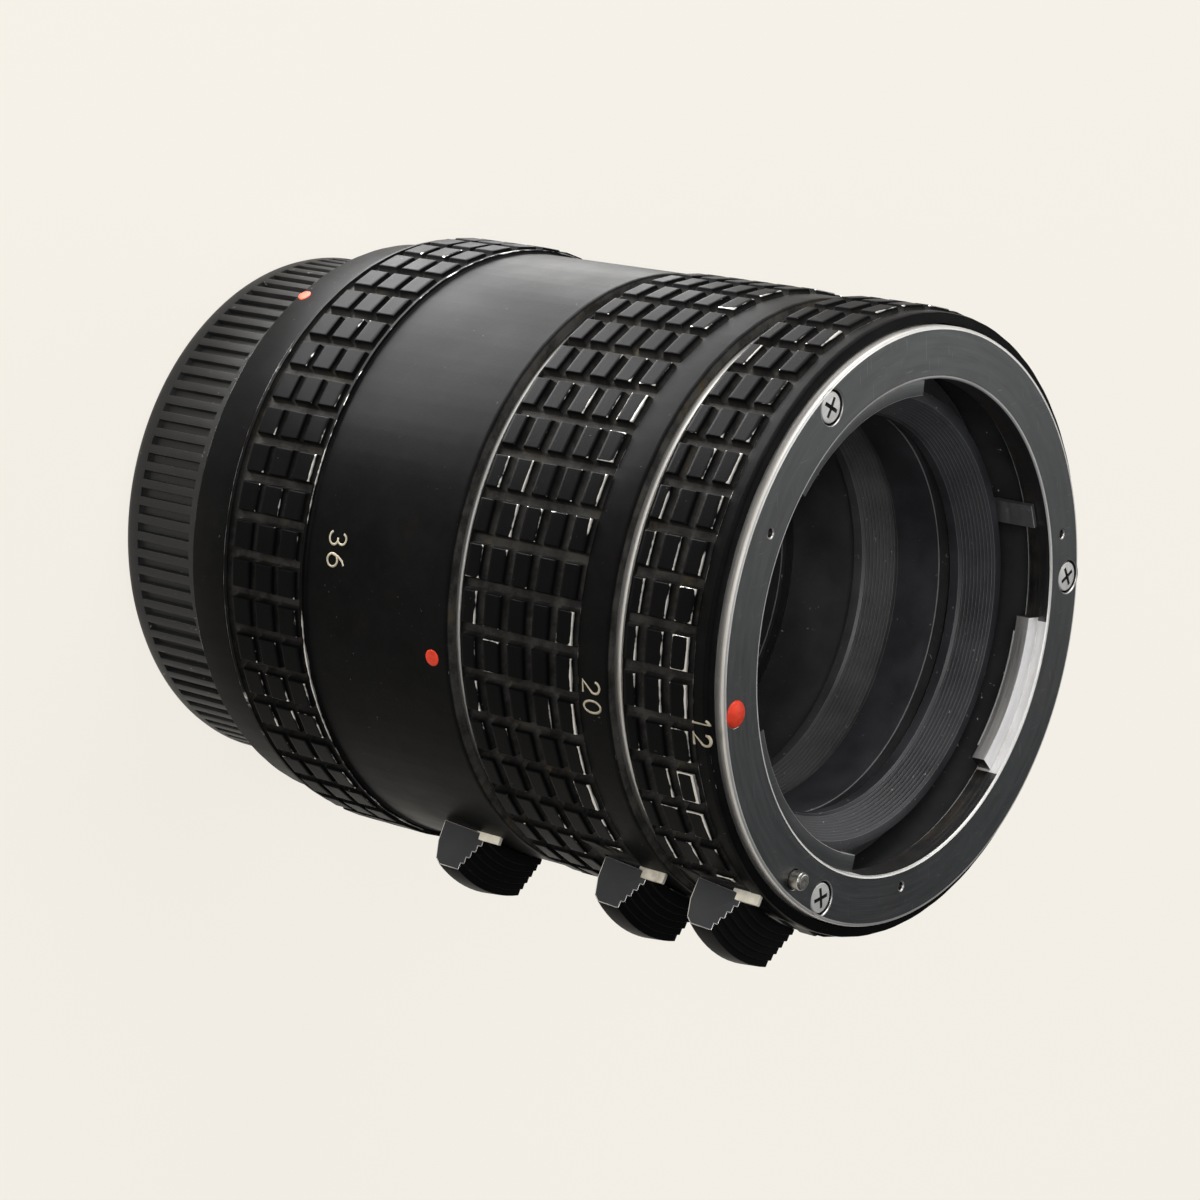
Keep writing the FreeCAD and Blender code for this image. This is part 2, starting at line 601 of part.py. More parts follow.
def knob_dome():
    """The knob's outline turned about an axis along the tube, which crowns its top between its sides."""
    narrowing = (KNOB_HALF_REAR - KNOB_HALF_FRONT) / (KNOB_REAR - KNOB_FRONT)
    points = [V(KNOB_CROWN_X, 0, -KNOB_REAR)]
    for x, z in knob_profile():
        half = KNOB_HALF_REAR - (KNOB_REAR + z) * narrowing
        points.append(V(KNOB_CROWN_X + hypot(x - KNOB_CROWN_X, half), 0, z))
    points.append(V(KNOB_CROWN_X, 0, -KNOB_FRONT))
    return Part.Face(Part.makePolygon(points + points[:1])).revolve(V(KNOB_CROWN_X, 0, 0), V(0, 0, 1), 360)


def release_knob(tag):
    """Thumb knob: serrated front, crowned top, sides that narrow to the front, arm that grips the pin."""
    plan = [(-KNOB_HALF_REAR, -KNOB_REAR), (-KNOB_HALF_FRONT, -KNOB_FRONT)]
    plan += [(KNOB_HALF_FRONT, -KNOB_FRONT), (KNOB_HALF_REAR, -KNOB_REAR)]
    points = [V(KNOB_BODY_R, y, z) for y, z in plan]
    sides = Part.Face(Part.makePolygon(points + points[:1])).extrude(V(KNOB_TOP, 0, 0))
    knob = facing(knob_dome().common(sides), KNOB_ANGLE[tag])
    knob = knob.cut(ring(0, KNOB_UNDER_R, -KNOB_REAR - 1, 0))
    first, last = stem_span(tag)
    arm = sector(ARM_R[0], ARM_R[1], -ARM_BOTTOM, -ARM_TOP, (PIN_ANGLE - ARM_OVER_DEG, last))
    stem = sector(ARM_R[1] - EDGE, KNOB_UNDER_R + BITE, -ARM_BOTTOM, -ARM_TOP, (first, last))
    knob = knob.fuse([arm, stem]).cut([rod(PIN_R, -KNOB_REAR, 0, PIN_RING_R, PIN_ANGLE), brass(tag)])
    knob.translate(V(0, 0, -KNOB_BACK[tag]))
    return knob.removeSplitter()


def brass(tag):
    """Brass strip let into the underside of the knob, with an upright ear at its near side."""
    corner = V(EAR_X[0], EAR_Y[0], -EAR_REAR)
    ear = Part.makeBox(EAR_X[1] - EAR_X[0], EAR_Y[1] - EAR_Y[0], EAR_REAR - EAR_FRONT, corner)
    length = EAR_REAR - KNOB_FRONT - EDGE
    strip = Part.makeBox(STRIP_THICK, -EAR_Y[0], length, V(EAR_X[1] - STRIP_THICK, EAR_Y[0], -EAR_REAR))
    return facing(ear.fuse(strip), KNOB_ANGLE[tag])


def slide_plate(tag):
    """The brass strip at its place."""
    plate = brass(tag)
    plate.translate(V(0, 0, -KNOB_BACK[tag]))
    return plate


def rear_cap():
    """Ribbed rear cap with a closed floor and three lugs like those of the mount plate."""
    top = CAP_HEIGHT
    corner = CAP_EDGE * CAP_EDGE_SHARE
    outline = [(0, 0), (CAP_R - CAP_EDGE, 0), (CAP_R - corner, corner), (CAP_R, CAP_EDGE)]
    outline += [(CAP_R, top - EDGE), (CAP_R - EDGE, top), (MOUNT_BORE_R, top)]
    outline += [(MOUNT_BORE_R, CAP_FLOOR), (0, CAP_FLOOR)]
    body = turned(outline)
    pitch = 360.0 / RIBS
    outer_half = pitch * RIB_GAP_SHARE / 2
    inner_half = outer_half * RIB_TAPER
    cutters = []
    for i in range(RIBS):
        a = i * pitch
        inner, outer = CAP_R - RIB_DEPTH, CAP_R + 1
        points = [polar(inner, a - inner_half, RIB_BOTTOM), polar(outer, a - outer_half, RIB_BOTTOM)]
        points += [polar(outer, a + outer_half, RIB_BOTTOM), polar(inner, a + inner_half, RIB_BOTTOM)]
        gap = Part.Face(Part.makePolygon(points + points[:1]))
        cutters.append(gap.extrude(V(0, 0, RIB_TOP - RIB_BOTTOM)))
    body = body.cut(Part.makeCompound(cutters))
    low, high = top - PLATE_THICK, top - LUG_DEPTH
    lugs = [sector(LUG_IN_R, MOUNT_BORE_R + BITE, low, high, span) for span in FEMALE_LUGS]
    return body.fuse(lugs).removeSplitter()


seat = CAP_HEIGHT
save("rear_cap", rear_cap())
for tag in ORDER:
    face = seat + LENGTHS[tag]
    save("barrel_" + tag, barrel(tag), face)
    save("mount_plate_" + tag, mount_plate(), face)
    save("index_dot_" + tag, index_dot(), face)
    save("plate_screws_" + tag, plate_screws(), face)
    save("leaf_spring_" + tag, leaf_spring(), face)
    save("bayonet_ring_" + tag, bayonet_ring(), seat)
    save("ring_screws_" + tag, ring_screws(), seat)
    save("baffle_" + tag, baffle(tag), face)
    save("coupling_ring_" + tag, coupling_ring(tag), face)
    save("lock_pin_" + tag, lock_pin(tag), face)
    save("pin_spring_" + tag, pin_spring(tag), face)
    save("release_knob_" + tag, release_knob(tag), face)
    save("slide_plate_" + tag, slide_plate(tag), face)
    seat = face

front_36 = CAP_HEIGHT + LENGTHS["36"]
save("barrel_dot_36", painted_dot(BARREL_DOT, BAND_R["36"], 0), front_36)
save("rear_dot_36", painted_dot(REAR_DOT, REAR_BAND_R, -LENGTHS["36"]), front_36)
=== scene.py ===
import random
from math import atan2, cos, degrees, hypot, pi, radians, sin, sqrt

import bmesh
import bpy
from mathutils import Matrix, Vector
from mathutils.geometry import delaunay_2d_cdt


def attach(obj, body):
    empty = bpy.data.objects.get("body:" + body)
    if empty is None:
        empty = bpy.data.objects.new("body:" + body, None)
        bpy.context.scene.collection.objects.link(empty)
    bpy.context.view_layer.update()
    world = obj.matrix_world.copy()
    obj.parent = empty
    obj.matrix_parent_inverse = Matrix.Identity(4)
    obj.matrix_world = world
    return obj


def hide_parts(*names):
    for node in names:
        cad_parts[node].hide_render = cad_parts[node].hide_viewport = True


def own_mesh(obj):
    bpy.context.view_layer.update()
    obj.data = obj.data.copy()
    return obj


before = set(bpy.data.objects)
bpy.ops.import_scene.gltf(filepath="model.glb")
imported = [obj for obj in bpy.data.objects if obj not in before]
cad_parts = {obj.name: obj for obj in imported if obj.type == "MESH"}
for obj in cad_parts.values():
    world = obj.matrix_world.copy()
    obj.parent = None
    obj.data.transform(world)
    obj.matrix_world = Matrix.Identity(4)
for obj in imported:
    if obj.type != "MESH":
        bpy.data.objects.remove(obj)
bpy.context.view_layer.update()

# Sizes in millimetres, as the solids have them. Depths count down from each tube's front face.
MM = 0.001
TAGS = ["12", "20", "36"]
LENGTHS = {"12": 12.0, "20": 20.0, "36": 36.0}
FACE = {"36": 49.3, "20": 69.3, "12": 81.3}
FRONT_ANGLE = 270.0

# Barrels.
PROUD = {"12": 0.9, "20": 0.6, "36": 0.35}
BAND_R = {"12": 30.4, "20": 30.4, "36": 30.6}
BAND_END = {"12": 2.7, "20": 4.3}
RIM_R, INNER_R, TAIL_R = 29.35, 26.0, 20.9
WEB_THICK, WEB_STEP, TAIL_STEP = 2.4, 0.6, 1.0
FOOT_R = 22.92
REAR_R = 29.85
POCKET_R = 28.9
GROOVE_R, ROW_FLOOR_R, PAD_R = 30.1, 29.95, 30.85
REAR_GROOVE_R, REAR_FLOOR_R, REAR_PAD_R = 30.45, 30.3, 31.3
REAR_LIP_R = 31.0
COLUMNS = {
    "12": [(3.05, 4.95), (6.05, 7.95), (9.05, 10.3)],
    "20": [(4.65, 6.55), (7.65, 9.55), (10.65, 12.55), (13.65, 15.55), (16.65, 18.3)],
    "36": [(20.05, 22.4), (23.2, 25.55), (26.35, 28.7)],
}
# Rows of pads: count, angle of the first, floor radius, degrees at the top and at the root, pad radius.
ROWS = {
    "12": (44, 316.1, ROW_FLOOR_R, 5.8, 6.8, PAD_R),
    "20": (44, 316.1, ROW_FLOOR_R, 5.8, 6.8, PAD_R),
    "36": (50, 254.8, REAR_FLOOR_R, 5.0, 5.9, REAR_PAD_R),
}
# Smooth window under each knob of the short tubes: how deep it reaches and half its width in degrees.
WINDOW_END = {"12": 12.0, "20": 10.05}
WINDOW_TURN = 14.0

# Mount plates and bayonets.
PLATE_R, PLATE_THICK, BORE_R, LUG_R = 29.16, 2.6, 24.1, 22.35
FEMALE_LUGS = [(168.8, 220.8), (278.8, 336.8), (36.3, 75.8)]
# Lug whose top face takes the painted highlight of the near-white lug finish.
HIGHLIGHT_LUG = FEMALE_LUGS[2]
LUG_DROP = 1.1
MALE_LUGS = [(172.0, 216.0), (284.0, 330.0), (40.0, 72.0)]
MALE_R, MALE_DEPTH = 24.02, 4.25
SCREW_ANGLES = [84.8, 204.8, 324.8]
SCREW_RING_R = 27.3
DIMPLES = [(26.3, 234.0), (26.3, 95.1), (25.8, 353.4)]
DOT_RING_R, DOT_R = 27.5, 1.3

# Locks.
PIN_R, PIN_RING_R, PIN_ANGLE = 0.9, 27.4, 313.5
PIN_RISE, PIN_END, SPRING_FLOOR = 1.2, 7.6, 10.5
KNOB_ANGLE = {"12": 319.6, "20": 321.5, "36": 325.6}
KNOB_BACK = {"12": 0.0, "20": 0.0, "36": 2.4}

# Coupling rings.
RING_R, RING_OUTER_R, RING_THICK = 23.0, 25.6, 1.35
TAB_R, TAB_OUTER_R = 23.45, 23.95
TAB_SPAN, FINGER_SPAN = (98.8, 104.8), (105.3, 108.5)

# Rear cap.
CAP_R, CAP_TOP = 27.17, 13.3

# Segments round a large ring and round a small hole.
AROUND, SMALL_AROUND = 192, 40


# Mesh helpers.

class Shape:
    """Vertices in millimetres with a wear and a grime value each, and faces with a material number."""

    def __init__(self):
        self.verts, self.faces, self.mats = [], [], []
        self.wear, self.grime = [], []

    def add(self, point, wear=0.0, grime=0.0):
        self.verts.append(tuple(point))
        self.wear.append(wear)
        self.grime.append(grime)
        return len(self.verts) - 1

    def face(self, corners, material=0):
        self.faces.append(tuple(corners))
        self.mats.append(material)

    def bridge(self, ring, following, material=0):
        """Faces between two closed rings of vertices."""
        for i in range(len(ring)):
            k = (i + 1) % len(ring)
            self.face((ring[k], ring[i], following[i], following[k]), material)

    def shift(self, x, y, start=0):
        """Moves the vertices from a given one on."""
        for i in range(start, len(self.verts)):
            px, py, pz = self.verts[i]
            self.verts[i] = (px + x, py + y, pz)

    def build(self, name, body, node, materials, sharp=30.0):
        mesh = bpy.data.meshes.new(name)
        mesh.from_pydata([(x * MM, y * MM, z * MM) for x, y, z in self.verts], [], self.faces)
        for material in materials:
            mesh.materials.append(material)
        mesh.polygons.foreach_set("material_index", self.mats)
        for key, values in (("wear", self.wear), ("grime", self.grime)):
            mesh.attributes.new(key, "FLOAT", "POINT").data.foreach_set("value", values)
        return finish_piece(name, mesh, body, node, sharp)


def finish_piece(name, mesh, body, node, sharp=30.0):
    mesh.polygons.foreach_set("use_smooth", [True] * len(mesh.polygons))
    mesh.update()
    mesh.set_sharp_from_angle(angle=radians(sharp))
    piece = bpy.data.objects.new(name, mesh)
    bpy.context.scene.collection.objects.link(piece)
    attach(piece, body)
    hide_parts(node)
    return piece


def polar(radius, angle, z=0.0):
    return (radius * cos(radians(angle)), radius * sin(radians(angle)), z)


def circle(x, y, radius, count):
    turns = [2 * pi * i / count for i in range(count)]
    return [(x + radius * cos(turn), y + radius * sin(turn)) for turn in turns]


def rectangle(inner_r, outer_r, low, high):
    return [(inner_r, low), (outer_r, low), (outer_r, high), (inner_r, high)]


def triangulated(loops):
    """Corners of a flat face cut along closed loops, and its triangles, each with its middle."""
    points, edges = [], []
    for loop in loops:
        start = len(points)
        points += [Vector(p) for p in loop]
        edges += [(start + i, start + (i + 1) % len(loop)) for i in range(len(loop))]
    verts, _, faces, _, _, _ = delaunay_2d_cdt(points, edges, [], 0, 1e-6)
    triangles = []
    for corners in faces:
        x, y = (sum(verts[c][axis] for c in corners) / 3 for axis in (0, 1))
        triangles.append((corners, x, y))
    return verts, triangles


def rounded(outline, radius):
    """Closed outline of (r, z) with its corners rounded. Outer corners come back with a wear value."""
    steps = 3
    area = sum(a[0] * b[1] - b[0] * a[1] for a, b in zip(outline, outline[1:] + outline[:1]))
    if area < 0:
        outline = outline[::-1]
    points = []
    for i, corner in enumerate(outline):
        here = Vector(corner)
        back = Vector(outline[i - 1]) - here
        ahead = Vector(outline[(i + 1) % len(outline)]) - here
        turn = -back.x * ahead.y + back.y * ahead.x
        if abs(turn) < 0.02 * back.length * ahead.length:
            points.append((here.x, here.y, 0.0))
            continue
        cut = min(radius, 0.4 * back.length, 0.4 * ahead.length)
        first = here + back.normalized() * cut
        last = here + ahead.normalized() * cut
        for k in range(steps + 1):
            t = k / steps
            spot = first * (1 - t) ** 2 + here * 2 * t * (1 - t) + last * t ** 2
            wear = 0.0 if turn < 0 else (1.0 if 0 < k < steps else 0.55)
            points.append((spot.x, spot.y, wear))
    return points


def lathe(shape, outline, edge=0.06, segments=AROUND, span=None, pick=None):
    """Ring turned about the axis from a closed outline, or a closed sector of it between two angles."""
    chain = rounded(outline, edge)
    if span:
        segments = max(2, int((span[1] - span[0]) / 2.0))
        angles = [span[0] + (span[1] - span[0]) * i / segments for i in range(segments + 1)]
    else:
        angles = [360.0 * i / segments for i in range(segments)]
    index = [[shape.add(polar(r, a, z), w) for r, z, w in chain] for a in angles]
    count = len(chain)
    for i in range(segments):
        left, right = index[i], index[(i + 1) % len(angles)]
        for j in range(count):
            k = (j + 1) % count
            (r, z, _), (next_r, next_z, _) = chain[j], chain[k]
            if r < 0.001 and next_r < 0.001:
                continue
            material = pick((r + next_r) / 2, (z + next_z) / 2) if pick else 0
            shape.face((left[j], right[j], right[k], left[k]), material)
    if span:
        shape.face(index[0])
        shape.face(index[-1][::-1])


def block(name, corners, faces, body, node, materials, bevel, sides=0):
    """Solid from corners in millimetres with bevelled edges."""
    # The first faces can be sides. Then only the bevels beside them have the bevels' material.
    body_material, bevel_material, side_material = 0, 1, 2
    bm = bmesh.new()
    verts = [bm.verts.new(Vector(c) * MM) for c in corners]
    made = [bm.faces.new([verts[i] for i in corner_list]) for corner_list in faces]
    for face in made[:sides]:
        face.material_index = side_material
    bmesh.ops.recalc_face_normals(bm, faces=bm.faces)
    bm.edges.ensure_lookup_table()
    hard = [e for e in bm.edges if e.is_manifold and e.calc_face_angle() > radians(18)]
    bmesh.ops.bevel(bm, geom=hard, material=bevel_material, offset=bevel * MM, offset_type="OFFSET",
                    segments=2, profile=0.6, affect="EDGES", clamp_overlap=True)
    if sides:
        for face in bm.faces:
            beside = any(f.material_index == side_material for e in face.edges for f in e.link_faces)
            if face.material_index == bevel_material and not beside:
                face.material_index = body_material
    mesh = bpy.data.meshes.new(name)
    bm.to_mesh(mesh)
    bm.free()
    for material in materials:
        mesh.materials.append(material)
    return finish_piece(name, mesh, body, node)


# Node helpers.

class Nodes:
    """Short way to write a node tree."""

    def __init__(self, name):
        self.material = bpy.data.materials.new(name)
        self.material.use_nodes = True
        self.tree = self.material.node_tree
        self.shader = self.tree.nodes["Principled BSDF"]
        self.place = self.tree.nodes.new("ShaderNodeTexCoord").outputs["Object"]

    def node(self, kind, values=(), **settings):
        made = self.tree.nodes.new("ShaderNode" + kind)
        for key, value in settings.items():
            setattr(made, key, value)
        for key, value in dict(values).items():
            self.put(made.inputs[key], value)
        return made

    def put(self, socket, value):
        if isinstance(value, bpy.types.NodeSocket):
            self.tree.links.new(value, socket)
        else:
            socket.default_value = value

    def set(self, **values):
        for key, value in values.items():
            self.put(self.shader.inputs[key.replace("_", " ")], value)

    def math(self, operation, a, b=0.0, clamp=False):
        made = self.node("Math", {0: a, 1: b}, operation=operation)
        made.use_clamp = clamp
        return made.outputs[0]

    def times(self, a, b, clamp=False):
        return self.math("MULTIPLY", a, b, clamp)

    def plus(self, a, b):
        return self.math("ADD", a, b)

    def noise(self, scale, detail=3.0, rough=0.5, at=None):
        values = {"Vector": at or self.place, "Scale": scale, "Detail": detail, "Roughness": rough}
        return self.node("TexNoise", values).outputs["Fac"]

    def ramp(self, value, low, high, from_value=0.0, to_value=1.0):
        made = self.node("MapRange", {0: value, 1: low, 2: high, 3: from_value, 4: to_value})
        made.interpolation_type = "SMOOTHSTEP"
        return made.outputs[0]

    def mix(self, share, a, b):
        made = self.node("Mix", data_type="RGBA")
        self.put(made.inputs["Factor"], share)
        for key, value in ((6, a), (7, b)):
            self.put(made.inputs[key], value if isinstance(value, bpy.types.NodeSocket) else (*value, 1.0))
        return made.outputs[2]

    def blend(self, share, a, b):
        """Number between two numbers."""
        made = self.node("Mix", data_type="FLOAT")
        for key, value in ((0, share), (2, a), (3, b)):
            self.put(made.inputs[key], value)
        return made.outputs[0]

    def attribute(self, name):
        return self.node("Attribute", attribute_name=name).outputs["Fac"]

    def bump(self, height, strength, distance, normal=None):
        values = {"Height": height, "Strength": strength, "Distance": distance}
        if normal:
            values["Normal"] = normal
        return self.node("Bump", values).outputs[0]

    def stretched(self, x, y, z):
        return self.node("Mapping", {"Vector": self.place, "Scale": (x, y, z)}).outputs[0]

    def turning(self, across, around):
        """Coordinates that run round the axis, for marks left by turning on a lathe."""
        x, y, z = self.node("SeparateXYZ", {0: self.place}).outputs
        square = self.plus(self.times(x, x), self.times(y, y))
        radius = self.times(self.math("SQRT", square), across)
        height = self.times(z, across)
        angle = self.times(self.math("ARCTAN2", y, x), around)
        return self.node("CombineXYZ", {0: radius, 1: angle, 2: height}).outputs[0]


# Finishes. Noise scales are per metre.
BARE_METAL = (0.62, 0.6, 0.57)
GRIME_FILM, BROWN_GRIME, DUST = (0.075, 0.072, 0.066), (0.1, 0.075, 0.035), (0.3, 0.28, 0.25)
BRIGHT_EDGE = (0.83, 0.81, 0.78)
RUBBED_PAINT, PALE_DUST = (0.2, 0.195, 0.185), (0.5, 0.48, 0.44)


def scaled(tone, share, lift=0.0):
    return tuple(min(1.0, c * share + lift) for c in tone)


def anodised(name, tone, rough, worn=0.5, dust=0.5, level=0.032):
    """Black anodised metal: blasted grain, silver where edges are rubbed, dusty film in the low places."""
    n = Nodes(name)
    rub = n.noise(700.0, 4.0, 0.65)
    wide = n.noise(90.0, 3.0, 0.6)
    patch = n.ramp(n.noise(480.0, 2.0, 0.5), 0.3, 0.7, 0.78, 1.12)
    amount = n.times(n.attribute("wear"), n.times(n.ramp(wide, 0.3, 0.7, 0.6, 1.25), patch))
    bare = n.ramp(n.plus(amount, n.times(rub, 0.8)), 1.35 - worn * 0.5, 1.55 - worn * 0.5)
    speck = n.ramp(n.noise(2600.0, 2.0, 0.5), 0.735, 0.76)
    speck = n.times(speck, n.ramp(n.noise(160.0, 2.0), 0.45, 0.65, 0.1, 1.0))
    tint = n.mix(n.ramp(wide, 0.3, 0.75), tone, scaled(tone, 1.6, 0.0006))
    patchy = n.ramp(n.noise(420.0, 5.0, 0.7), 0.35, 0.65, 0.35, 1.0)
    dirt = n.times(n.attribute("grime"), patchy, clamp=True)
    tint = n.mix(dirt, tint, GRIME_FILM)
    brown = n.times(dirt, n.ramp(n.noise(230.0, 4.0, 0.7), 0.56, 0.7))
    tint = n.mix(n.times(brown, 0.7), tint, BROWN_GRIME)
    tint = n.mix(n.times(speck, dust * 0.6), tint, DUST)
    tint = n.mix(bare, tint, BARE_METAL)
    n.set(Base_Color=tint)
    n.set(Metallic=n.times(bare, 0.9))
    shine = n.ramp(n.noise(55.0, 4.0, 0.6), 0.25, 0.75, rough - 0.05, rough + 0.09)
    shine = n.plus(shine, n.times(dirt, 0.2))
    n.set(Roughness=n.blend(bare, shine, 0.3))
    n.shader.inputs["Specular IOR Level"].default_value = level
    normal = n.bump(n.noise(5200.0, 2.0, 0.5), 0.25, 0.00004)
    normal = n.bump(n.plus(rub, n.times(bare, -0.4)), 0.18, 0.00005, normal)
    n.set(Normal=normal)
    return n.material


def turned_metal(name, tone, rough, stain=0.3, lines=0.25, metal=1.0, deep=(0.16, 0.11, 0.06)):
    """Plated or bare metal with fine turning marks, hairline scratches and a faint brown stain."""
    n = Nodes(name)
    mark = n.noise(1.0, 3.0, 0.6, n.turning(9000.0, 3.0))
    broad = n.noise(1.0, 2.0, 0.5, n.turning(1400.0, 5.0))
    cloud = n.noise(120.0, 5.0, 0.65)
    tint = n.mix(n.ramp(broad, 0.3, 0.7), scaled(tone, 0.92), scaled(tone, 1.06))
    scratch = n.ramp(n.noise(1.0, 2.0, 0.4, n.stretched(300.0, 5200.0, 900.0)), 0.69, 0.73)
    crossing = n.ramp(n.noise(1.0, 2.0, 0.4, n.stretched(5600.0, 420.0, 900.0)), 0.7, 0.74)
    scratch = n.math("MAXIMUM", scratch, crossing)
    tint = n.mix(n.times(scratch, 0.35), tint, scaled(tone, 1.7, 0.05))
    dirt = n.times(n.ramp(cloud, 0.56, 0.74), stain)
    settled = n.times(n.attribute("grime"), n.ramp(n.noise(500.0, 4.0), 0.35, 0.6))
    dirt = n.math("MAXIMUM", dirt, settled)
    tint = n.mix(dirt, tint, deep)
    edge = n.ramp(n.plus(n.attribute("wear"), n.times(cloud, 0.5)), 0.85, 1.2)
    tint = n.mix(n.times(edge, 0.7), tint, BRIGHT_EDGE)
    n.set(Base_Color=tint, Metallic=metal)
    base = n.ramp(mark, 0.25, 0.75, rough - 0.06, rough + 0.1)
    n.set(Roughness=n.plus(base, n.times(dirt, 0.3)))
    normal = n.bump(mark, lines, 0.00003)
    normal = n.bump(n.plus(cloud, n.times(scratch, -0.7)), 0.12, 0.00006, normal)
    n.set(Normal=normal)
    return n.material


def matt(name, tone, rough=0.75, dust=0.4, grain=0.5, level=0.25, crest=0.35):
    """Matt black paint or moulded plastic with a fine pebbled skin and a little dust."""
    n = Nodes(name)
    wide = n.noise(140.0, 4.0, 0.6)
    speck = n.ramp(n.noise(1500.0, 3.0, 0.6), 0.685, 0.72)
    speck = n.times(speck, n.ramp(n.noise(90.0, 3.0), 0.4, 0.65))
    tint = n.mix(n.ramp(wide, 0.3, 0.7), tone, scaled(tone, 1.7, 0.002))
    worn = n.ramp(n.plus(n.attribute("wear"), n.times(wide, 0.6)), 0.95, 1.3)
    tint = n.mix(n.times(worn, crest), tint, RUBBED_PAINT)
    tint = n.mix(n.times(speck, dust), tint, PALE_DUST)
    n.set(Base_Color=tint)
    n.set(Roughness=n.ramp(wide, 0.25, 0.75, rough - 0.07, rough + 0.08))
    n.shader.inputs["Specular IOR Level"].default_value = level
    n.set(Normal=n.bump(n.noise(3600.0, 3.0, 0.6), grain, 0.00005))
    return n.material


def paint(name, tone, rough, level):
    """Enamel in a recess, with a slight colour drift."""
    n = Nodes(name)
    cloud = n.noise(900.0, 3.0, 0.6)
    n.set(Base_Color=n.mix(n.ramp(cloud, 0.3, 0.7), tone, scaled(tone, 0.72)))
    n.set(Roughness=n.ramp(cloud, 0.3, 0.7, rough - 0.05, rough + 0.08))
    n.shader.inputs["Specular IOR Level"].default_value = level
    n.set(Normal=n.bump(cloud, 0.1, 0.00008))
    return n.material


BLACK = anodised("black_anodised", (0.0021, 0.0021, 0.0023), 0.38)
KNOB = anodised("knob_black", (0.005, 0.005, 0.005), 0.42, worn=0.6, dust=0.8)
KNOB_SIDE = anodised("knob_side", (0.038, 0.039, 0.042), 0.5, worn=0.6, dust=0.6, level=0.26)
WORN = anodised("worn_edge", (0.3, 0.29, 0.28), 0.34, worn=2.4, dust=0.2, level=0.4)
CHROME = turned_metal("mount_gunmetal", (0.112, 0.114, 0.114), 0.38, stain=0.12, lines=0.12)
RIM = turned_metal("mount_rim", (0.86, 0.84, 0.8), 0.48, stain=0.3, deep=(0.3, 0.2, 0.11))
STEEL = turned_metal("steel", (0.72, 0.71, 0.68), 0.42, stain=0.5, metal=0.5)
# Near-white lug finish: a painted highlight on the bore wall over the lugs and on one lug's top face.
LUG_PAINTED_HIGHLIGHT = turned_metal("lug_painted_highlight", (0.86, 0.85, 0.84), 0.5, stain=0.25, metal=0.25, deep=(0.3, 0.22, 0.14))
PIN = turned_metal("pin_steel", (0.34, 0.32, 0.285), 0.32, stain=0.5, deep=(0.2, 0.11, 0.05))
DARK_METAL = turned_metal("coupling_metal", (0.42, 0.42, 0.43), 0.48, stain=0.2)
BRASS = turned_metal("brass", (0.93, 0.87, 0.74), 0.42, stain=0.5, metal=0.35, deep=(0.14, 0.11, 0.07))
MATT = matt("matt_black", (0.017, 0.017, 0.018), level=0.3, dust=0.8)
RINGS = matt("ring_black", (0.026, 0.026, 0.029), 0.5, level=0.6, dust=0.9, crest=1.0)
# Lighter copy of the ring finish for the deeper baffles: painted light that makes up for the shade deep in
# the tube.
LIT_DEEP_RINGS = matt("deep_rings_painted_light", (0.05, 0.048, 0.048), 0.5, level=0.8, dust=0.9, crest=1.0)
BORE = turned_metal("bore_wall", (0.16, 0.16, 0.16), 0.34, stain=0.5, lines=0.3)
CAP = matt("cap_plastic", (0.01, 0.01, 0.01), 0.5, dust=0.4, grain=0.35, level=0.3)
RED = paint("red_paint", (0.96, 0.075, 0.035), 0.36, 0.12)
GOLD = paint("number_paint", (0.62, 0.55, 0.4), 0.5, 0.5)


# Barrels: one closed skin, the outline times the rows of pads.

# Outline of the long tube before and after its grip: radius, depth, wear.
BEFORE_GRIP = [
    (30.6, 19.0, 0.0), (30.75, 19.2, 0.3), (REAR_LIP_R, 19.3, 1.0), (REAR_LIP_R, 19.6, 0.4),
    (30.45, 19.68, 0.0),
]
AFTER_GRIP = [
    (30.45, 29.72, 0.0), (REAR_LIP_R, 29.8, 0.6), (REAR_LIP_R, 30.15, 0.6), (30.85, 30.36, 1.0),
    (30.6, 30.4, 0.3), (REAR_R, 30.42, 0.0), (REAR_R, 35.75, 0.0), (29.8, 35.88, 0.8), (29.7, 35.93, 0.3),
    (29.3, 35.95, 0.0), (29.3, 35.0, 0.0),
]
RIM_WEAR = {"12": 0.2, "20": 0.3, "36": 0.3}
# Angle of the side that hands rub most, and how near a knob the grime is thicker.
HAND_ANGLE, GRIME_TURN = 262.0, 24.0
# Degrees from a pad's top edge at which its rounded edge bends.
EDGE_BENDS = (-0.45, -0.12, 0.02, 0.12)


def row_angles(count, phase, top_deg, root_deg):
    """Angles of the edges of all pads."""
    top, root = top_deg / 2, root_deg / 2
    turns = [top + bend for bend in EDGE_BENDS] + [root]
    angles = []
    for i in range(count):
        centre = phase + i * 360.0 / count
        angles += [(centre + turn * side) % 360.0 for turn in turns for side in (-1, 1)]
    return angles


def row_height(angle, count, phase, floor_r, top_deg, root_deg, pad_r):
    """Radius that a row of pads allows at an angle, its wear and the row's number."""
    pitch = 360.0 / count
    row = round((angle - phase) / pitch)
    off = abs(angle - phase - row * pitch)
    top, root = top_deg / 2, root_deg / 2
    flat, soft, corner, flank = (top + bend for bend in EDGE_BENDS)
    rise = pad_r - floor_r
    stops = [
        (0.0, pad_r, 0.0), (flat, pad_r, 0.0), (soft, pad_r, 0.65), (corner, pad_r - 0.05 * rise, 1.0),
        (flank, pad_r - 0.25 * rise, 0.25), (root, floor_r, 0.0), (pitch, floor_r, 0.0),
    ]
    for (start, start_r, start_wear), (end, end_r, end_wear) in zip(stops, stops[1:]):
        if off <= end:
            t = (off - start) / (end - start)
            return start_r + (end_r - start_r) * t, start_wear + (end_wear - start_wear) * t, row % count
    return floor_r, 0.0, row % count


